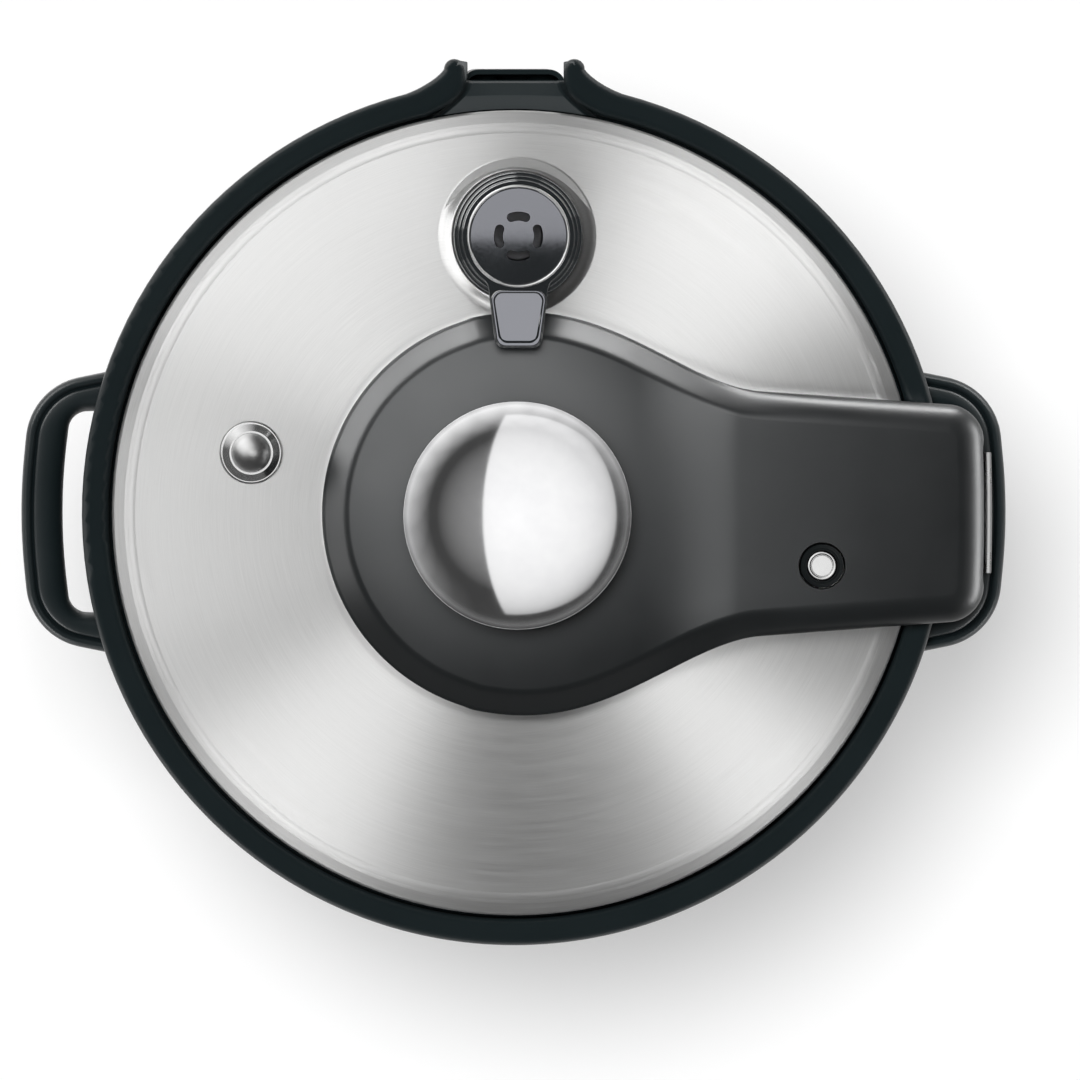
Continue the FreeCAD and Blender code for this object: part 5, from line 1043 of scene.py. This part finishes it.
def spout_trough(material):
    """The floor of the spout between its horns, with its sides rounded up into them."""
    shares = [0, 0.25, 0.48, 0.5, 0.52, 0.7, 0.92, 0.96, 0.985, 1]
    across = [-1 + k / 20 for k in range(41)]
    top = []
    for share in shares:
        half = MOUTH_HALF + (THROAT_HALF - MOUTH_HALF) * (1 - share) ** 2
        for u in across:
            x = u * half
            inner_y = math.sqrt(TROUGH_INNER_R ** 2 - x ** 2)
            side = max(0.0, abs(u) - TROUGH_FLAT) / (1 - TROUGH_FLAT)
            z = trough_floor(share) + TROUGH_SIDE_RISE * side ** 2
            top.append((x, inner_y + (TROUGH_END_Y - inner_y) * share, z))
    rows, count = len(shares), len(across)
    points = top + [(x, y, TROUGH_LOW_Z) for x, y, _ in top]
    below = len(top)
    faces = []
    for r in range(rows - 1):
        for k in range(count - 1):
            i = r * count + k
            faces.append((i, i + 1, i + count + 1, i + count))
            faces.append((i + below, i + count + below, i + count + 1 + below, i + 1 + below))
    edge = list(range(count))
    edge += [r * count + count - 1 for r in range(1, rows)]
    edge += [(rows - 1) * count + k for k in range(count - 2, -1, -1)]
    edge += [r * count for r in range(rows - 2, 0, -1)]
    faces += [(i, i + below, j + below, j) for i, j in zip(edge, edge[1:] + edge[:1])]
    return new_piece("spout_trough", points, faces, material, "housing", 14)


def horn_facet(name, side, material):
    """The flat inner side of a horn of the spout. Side is 1 on the right and -1 on the left."""
    corners = [(16.6, 155.5, 255.9), (20.0, 156.1, 258.1), (21.4, 151.2, 258.1), (21.2, 146.2, 258.1),
               (17.6, 147.4, 253.6), (16.6, 150.0, 254.7)]
    top = [(SPOUT_X + side * x * MM, y * MM, z * MM) for x, y, z in corners]
    points = top + [(x, y, HORN_LOW_Z) for x, y, _ in top]
    faces = [(0, 1, 2, 5), (5, 2, 3, 4), (11, 10, 9, 8, 7, 6)]
    faces += [(i, i + 6, (i + 1) % 6 + 6, (i + 1) % 6) for i in range(6)]
    piece = new_piece(name, points, faces, material, "housing")
    soften(piece, HORN_EDGE_R)
    smooth(piece, 40)
    return piece


# Controls

def marks(name, outlines, spot, lift, material, body):
    """Flat marks raised from a surface. Spot gives the point for (across, up, out)."""
    points = []
    faces = []
    for outline in outlines:
        start = len(points)
        for out in (-MARK_SINK, lift):
            points += [spot(u * MM, v * MM, out) for u, v in outline]
        faces += [tuple(start + i for i in face) for face in loop_faces(2, len(outline))]
    new_piece(name, points, faces, material, body)


def bar(a, b, width):
    """The outline of a straight bar with pointed ends, between two points."""
    a, b = Vector(a), Vector(b)
    along = (b - a).normalized() * width / 2
    across = Vector((-along.y, along.x))
    return [a - across, b - across, b + along, b + across, a + across, a - along]


def wave(x, low, high, swing, width):
    """The outline of a wavy upright line."""
    steps = 24
    shares = [k / steps for k in range(steps + 1)]
    line = [(x + swing * math.sin(math.tau * share), low + (high - low) * share) for share in shares]
    return [(u - width / 2, v) for u, v in line] + [(u + width / 2, v) for u, v in line[::-1]]


SEGMENTS = {"a": ((-1, 2), (1, 2)), "b": ((1, 2), (1, 0)), "c": ((1, 0), (1, -2)), "d": ((-1, -2), (1, -2)),
            "e": ((-1, 0), (-1, -2)), "f": ((-1, 2), (-1, 0)), "g": ((-1, 0), (1, 0))}
DIGITS = {"0": "abcdef", "2": "abged", "5": "afgcd"}


def digit(figure, x):
    """The lit bars of a seven-bar figure."""
    bars = []
    for key in DIGITS[figure]:
        a, b = [Vector((x + u * FIGURE_BAR, v * FIGURE_BAR)) for u, v in SEGMENTS[key]]
        gap = (b - a).normalized() * FIGURE_GAP
        bars.append(bar(a + gap, b - gap, FIGURE_WIDTH))
    return bars


def display_figures(material):
    """The lit figures behind the window."""
    low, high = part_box("display_module")
    middle_z = (low.z + high.z) / 2
    lines = [line for figure, x in FIGURES for line in digit(figure, x)]
    lines += [circle(0, 2.6, 0.75), circle(0, -2.6, 0.75)]
    marks("display_figures", lines, lambda u, v, out: (u, low.y - out, middle_z + v), 0.15 * MM,
          material, "housing")


def key_symbols(material):
    """Plain symbols on the keys: heat, steam, start and stop."""
    symbols = {
        "keep_warm": [wave(x, -2.6, 2.6, 0.45, 0.7) for x in (-2, 0, 2)],
        "steam": [bar((0, -2.8), (0, 1.6), 0.7), bar((-1.7, 0.6), (0, 2.4), 0.7),
                  bar((1.7, 0.6), (0, 2.4), 0.7), circle(-2, -2, 0.5), circle(2, -2, 0.5)],
        "start": [[(-1.8, -2.4), (2.6, 0), (-1.8, 2.4)]],
        "cancel": [bar((-1.9, -1.9), (1.9, 1.9), 0.75), bar((-1.9, 1.9), (1.9, -1.9), 0.75)],
    }
    for key, outlines in symbols.items():
        middle = middle_of(key + "_button")
        angle = math.atan2(middle.x, -middle.y)
        turn = Matrix.Rotation(angle, 3, "Z")
        marks(key + "_symbol", outlines,
              lambda u, v, out: turn @ Vector((u, -(BUTTON_FACE_R + out), middle.z + v)),
              PRINT_LIFT, material, key + "_key")


def dial_marks(material):
    """The mark on the dial and the scale round it."""
    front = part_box("dial")[0].y
    dial_z = middle_of("dial").z
    marks("dial_mark", [bar((0, 16.6), (0, 18.3), 0.9)], lambda u, v, out: (u, front - out, dial_z + v),
          0.1 * MM, material, "dial")
    ticks = []
    for k in range(19):
        angle = math.radians(225 - 15 * k)
        c, s = math.cos(angle), math.sin(angle)
        near, far = 23.6, 27.2 if k % 3 == 0 else 25.6
        ticks.append(bar((near * c, near * s), (far * c, far * s), 0.6))

    def on_panel(u, v, out):
        turn, reach = u / PANEL_R, PANEL_R + out
        return reach * math.sin(turn), -reach * math.cos(turn), dial_z + v

    marks("dial_scale", ticks, on_panel, PRINT_LIFT, material, "housing")


def pot_marks(material):
    """Four filling lines stamped in the pot's wall."""
    lines = [bar((-7, rise), (7, rise), 0.8) for rise in (100, 120, 140, 160)]

    def on_wall(u, v, out):
        turn, reach = u / POT_INNER_R, POT_INNER_R - out
        return -reach * math.cos(turn), reach * math.sin(turn), v

    marks("pot_marks", lines, on_wall, 0.05 * MM, material, "housing")


# Light, floor and camera

def bearing(azimuth, tilt):
    """A direction that is turned from +X and tilted from straight up, in degrees."""
    a, t = math.radians(azimuth), math.radians(tilt)
    return Vector((math.cos(a) * math.sin(t), math.sin(a) * math.sin(t), math.cos(t)))


def aim(lamp, facing):
    """A lamp in the scene that shines against a direction."""
    thing = placed(lamp.name, lamp)
    thing.rotation_mode = "QUATERNION"
    thing.rotation_quaternion = facing.to_track_quat("Z", "Y")
    return thing


def soft_box(name, centre, facing, size, strength):
    """A soft box that faces against a direction. Strength is its brightness, where 1 is white."""
    lamp = bpy.data.lights.new(name, "AREA")
    lamp.shape = "RECTANGLE"
    lamp.size, lamp.size_y = size
    lamp.energy = strength * math.pi * size[0] * size[1]
    box = aim(lamp, facing)
    box.location = centre
    box.visible_camera = False
    return box


def limit(box, lit=(), unlit=()):
    """Limits a soft box to the objects that are lit, or spares the unlit ones."""
    group = bpy.data.collections.new(box.name + "_limits")
    for piece in (*lit, *unlit):
        group.objects.link(piece)
    for piece, entry in zip((*lit, *unlit), group.collection_objects):
        entry.light_linking.link_state = "INCLUDE" if piece in lit else "EXCLUDE"
    box.light_linking.receiver_collection = group


def shine_only(box, *lit):
    """A soft box that is only seen in the gloss of these objects."""
    box.visible_diffuse = False
    limit(box, lit)


def fade(box, degrees):
    """Lets a soft box fade towards this angle from its axis, where it keeps its brightness."""
    half = math.radians(degrees)
    box.data.spread = 2 * half
    box.data.energy *= (math.tan(half) - half) / math.tan(half)
    return box


def round_box(name, azimuth, tilt, distance, size, strength, fading=None):
    """A soft box that faces the middle of the rim, and may fade towards an angle from its axis."""
    facing = bearing(azimuth, tilt)
    box = soft_box(name, Vector((0, 0, RIM_TOP_Z)) + facing * distance, facing, size, strength)
    return fade(box, fading) if fading else box


def overhead(name, height, low, high, strength):
    """A card that faces straight down, given by its height and its corners in plan."""
    centre = Vector(((low[0] + high[0]) / 2, (low[1] + high[1]) / 2, height))
    return soft_box(name, centre, Vector((0, 0, 1)), (high[0] - low[0], high[1] - low[1]), strength)


def key_light():
    """The main light, as even over the floor as over the object."""
    lamp = bpy.data.lights.new("main_light", "SUN")
    lamp.energy = KEY_LEVEL * math.pi
    lamp.angle = math.radians(KEY_SPREAD)
    aim(lamp, bearing(*KEY_BEARING)).visible_glossy = False


def light_knob(knob):
    """A bright card with a crisp left edge over the knob, a fading one beside it and low lights round it."""
    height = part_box("lock_knob")[1].z + KNOB_CARD_RISE
    left = -KNOB_CARD_RISE * math.tan(math.radians(KNOB_CARD_EDGE))
    bright = overhead("knob_light", height, (left, -2.8), (2.8, 2.8), 1.14)
    shine_only(fade(bright, 82), knob)
    dim = overhead("knob_dim", height, (-1.6, -2.5), (left, 2.5), 0.36)
    shine_only(fade(dim, 60), knob)
    for k, strength in enumerate(KNOB_LIGHTS):
        azimuth = KNOB_LIGHT_STEP * (k + 1)
        shine_only(round_box(f"knob_light_{azimuth}", azimuth, 90, 1.6, (1.5, 1.5), strength, 25), knob)


def light_valve(tab):
    """Cool cards over the far half of the steam valve's disc and over its tail."""
    low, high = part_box("valve_disc")
    split = (low.y + high.y) / 2 - VIEW_LEAN[1] * DISC_CARD_RISE
    over_disc = overhead("disc_light", high.z + DISC_CARD_RISE, (-0.25, split), (0.25, split + 0.3), 2.2)
    over_tab = overhead("tab_light", high.z + TAB_CARD_RISE, (-0.25, -0.2), (0.27, 0.3), 2.6)
    for card, piece in ((over_disc, nodes["valve_disc"]), (over_tab, tab)):
        card.data.color = COOL_LIGHT
        shine_only(card, piece)


def light_scene(arm, ground, grips, valve, pin, strip, knob, bead, spout):
    """All lights, where the groups are the pieces that some of them are only seen in."""
    lid = nodes["lid_cover"]
    under = nodes["pressure_lid"]
    boss = valve["boss"]
    safety = [nodes["safety_body"], nodes["safety_cap"]]
    groups = {
        "arm": [arm],
        "cap": [nodes["valve_cap"], nodes["valve_collar"], valve["skirt"], valve["tab"]],
        "boss": [boss],
        "lid": [lid, bead],
        "lid_and_boss": [lid, bead, boss],
        "metals": [*safety, pin, strip, valve["bezel"]],
        "inside": [nodes[name] for name in INSIDE_STEEL],
        "underside": [under],
        "strip": [strip],
        "spout": spout,
        "horns": spout[1:],
        "grips": grips,
    }
    key_light()
    light_knob(knob)
    light_valve(valve["tab"])
    for group, azimuth, *light in ROUND_LIGHTS:
        shine_only(round_box(f"{group}_light_{azimuth}", azimuth, *light), *groups[group])
    for group, rise, *card in CARDS:
        shine_only(overhead(f"{group}_card", RIM_TOP_Z + rise, *card), *groups[group])
    for azimuth, strength in LOW_LIGHTS:
        box = round_box(f"low_light_{azimuth}", azimuth, 86, 1.5, (1.3, 0.35), strength)
        limit(box, unlit=(arm, lid, knob, ground, bead, under, boss, *safety))


def sky():
    """A dim surround with a paler horizon."""
    world = bpy.data.worlds.new("studio")
    bpy.context.scene.world = world
    world.use_nodes = True
    tree = world.node_tree
    tree.nodes.clear()
    heading = add(tree, "ShaderNodeTexCoord").outputs["Generated"]
    height = add(tree, "ShaderNodeSeparateXYZ", {0: heading}).outputs["Z"]
    horizon = spread(tree, height, HORIZON_LEVEL, 0.0, HORIZON_START, HORIZON_END)
    level = math_node(tree, "ADD", horizon, SKY_LEVEL)
    colour = add(tree, "ShaderNodeCombineColor", {"Red": level, "Green": level, "Blue": level}).outputs[0]
    light = add(tree, "ShaderNodeBackground", {"Color": colour, "Strength": 1.0})
    add(tree, "ShaderNodeOutputWorld", {"Surface": light.outputs[0]})


def floor():
    """A white floor that keeps the object's shadow."""
    bpy.ops.mesh.primitive_circle_add(vertices=64, radius=FLOOR_RADIUS, fill_type="NGON")
    ground = bpy.context.object
    ground.name = "floor"
    material, tree = blank_material("floor")
    ray = add(tree, "ShaderNodeLightPath").outputs
    seen = math_node(tree, "MAXIMUM", ray["Is Camera Ray"], ray["Is Glossy Ray"])
    seen = math_node(tree, "MAXIMUM", seen, ray["Is Transmission Ray"])
    matt = add(tree, "ShaderNodeBsdfDiffuse", {"Color": FLOOR_WHITE})
    white = add(tree, "ShaderNodeEmission", {"Color": (1, 1, 1, 1), "Strength": 1.0})
    share = math_node(tree, "MULTIPLY", seen, FLOOR_GLOW)
    mixed = add(tree, "ShaderNodeMixShader", {0: share, 1: matt.outputs[0], 2: white.outputs[0]})
    add(tree, "ShaderNodeOutputMaterial", {"Surface": mixed.outputs[0]})
    ground.data.materials.append(material)
    return ground


def camera():
    """A long lens almost straight above, framed as the photograph is."""
    eye = placed("camera", bpy.data.cameras.new("camera"))
    bpy.context.scene.camera = eye
    pixel = MM_PER_PX * MM
    target_x = (PHOTO_PX / 2 - RIM_CENTRE_PX[0]) * pixel
    target_y = (RIM_CENTRE_PX[1] - PHOTO_PX / 2) * pixel
    target = Vector((target_x, target_y, RIM_TOP_Z))
    back = Vector((*VIEW_LEAN, 1)).normalized()
    right = Vector((0, 1, 0)).cross(back).normalized()
    turn = Matrix((right, back.cross(right), back)).transposed()
    eye.matrix_world = Matrix.Translation(target + back * CAMERA_DISTANCE) @ turn.to_4x4()
    eye.data.sensor_width = SENSOR_MM
    eye.data.lens = SENSOR_MM * CAMERA_DISTANCE / (PHOTO_PX * pixel)
    eye.data.clip_end = 2 * CAMERA_DISTANCE


materials = make_materials()
dress_nodes(materials)
arm = lid_arm(materials["arm_plastic"])
grips = [grip("left_grip", "left_handle", -1, materials["rim_plastic"]),
         grip("right_grip", "right_handle", 1, materials["rim_plastic"])]
valve = valve_trim(materials)
pin = float_trim(materials)
strip = hinge_strip(materials["worn_steel"])
knob = lock_dome(materials["chrome"])
sensor_coil(materials["plain_steel"])
bead = lid_bead(materials["lid_steel"])
rim_plastic = materials["rim_plastic"]
spout = [spout_trough(rim_plastic), horn_facet("left_horn_facet", -1, rim_plastic),
         horn_facet("right_horn_facet", 1, rim_plastic)]
display_figures(materials["digit_light"])
key_symbols(materials["print_dark"])
dial_marks(materials["print_white"])
pot_marks(materials["print_dark"])
ground = floor()
sky()
light_scene(arm, ground, grips, valve, pin, strip, knob, bead, spout)
camera()
bpy.context.scene.view_settings.view_transform = "Standard"
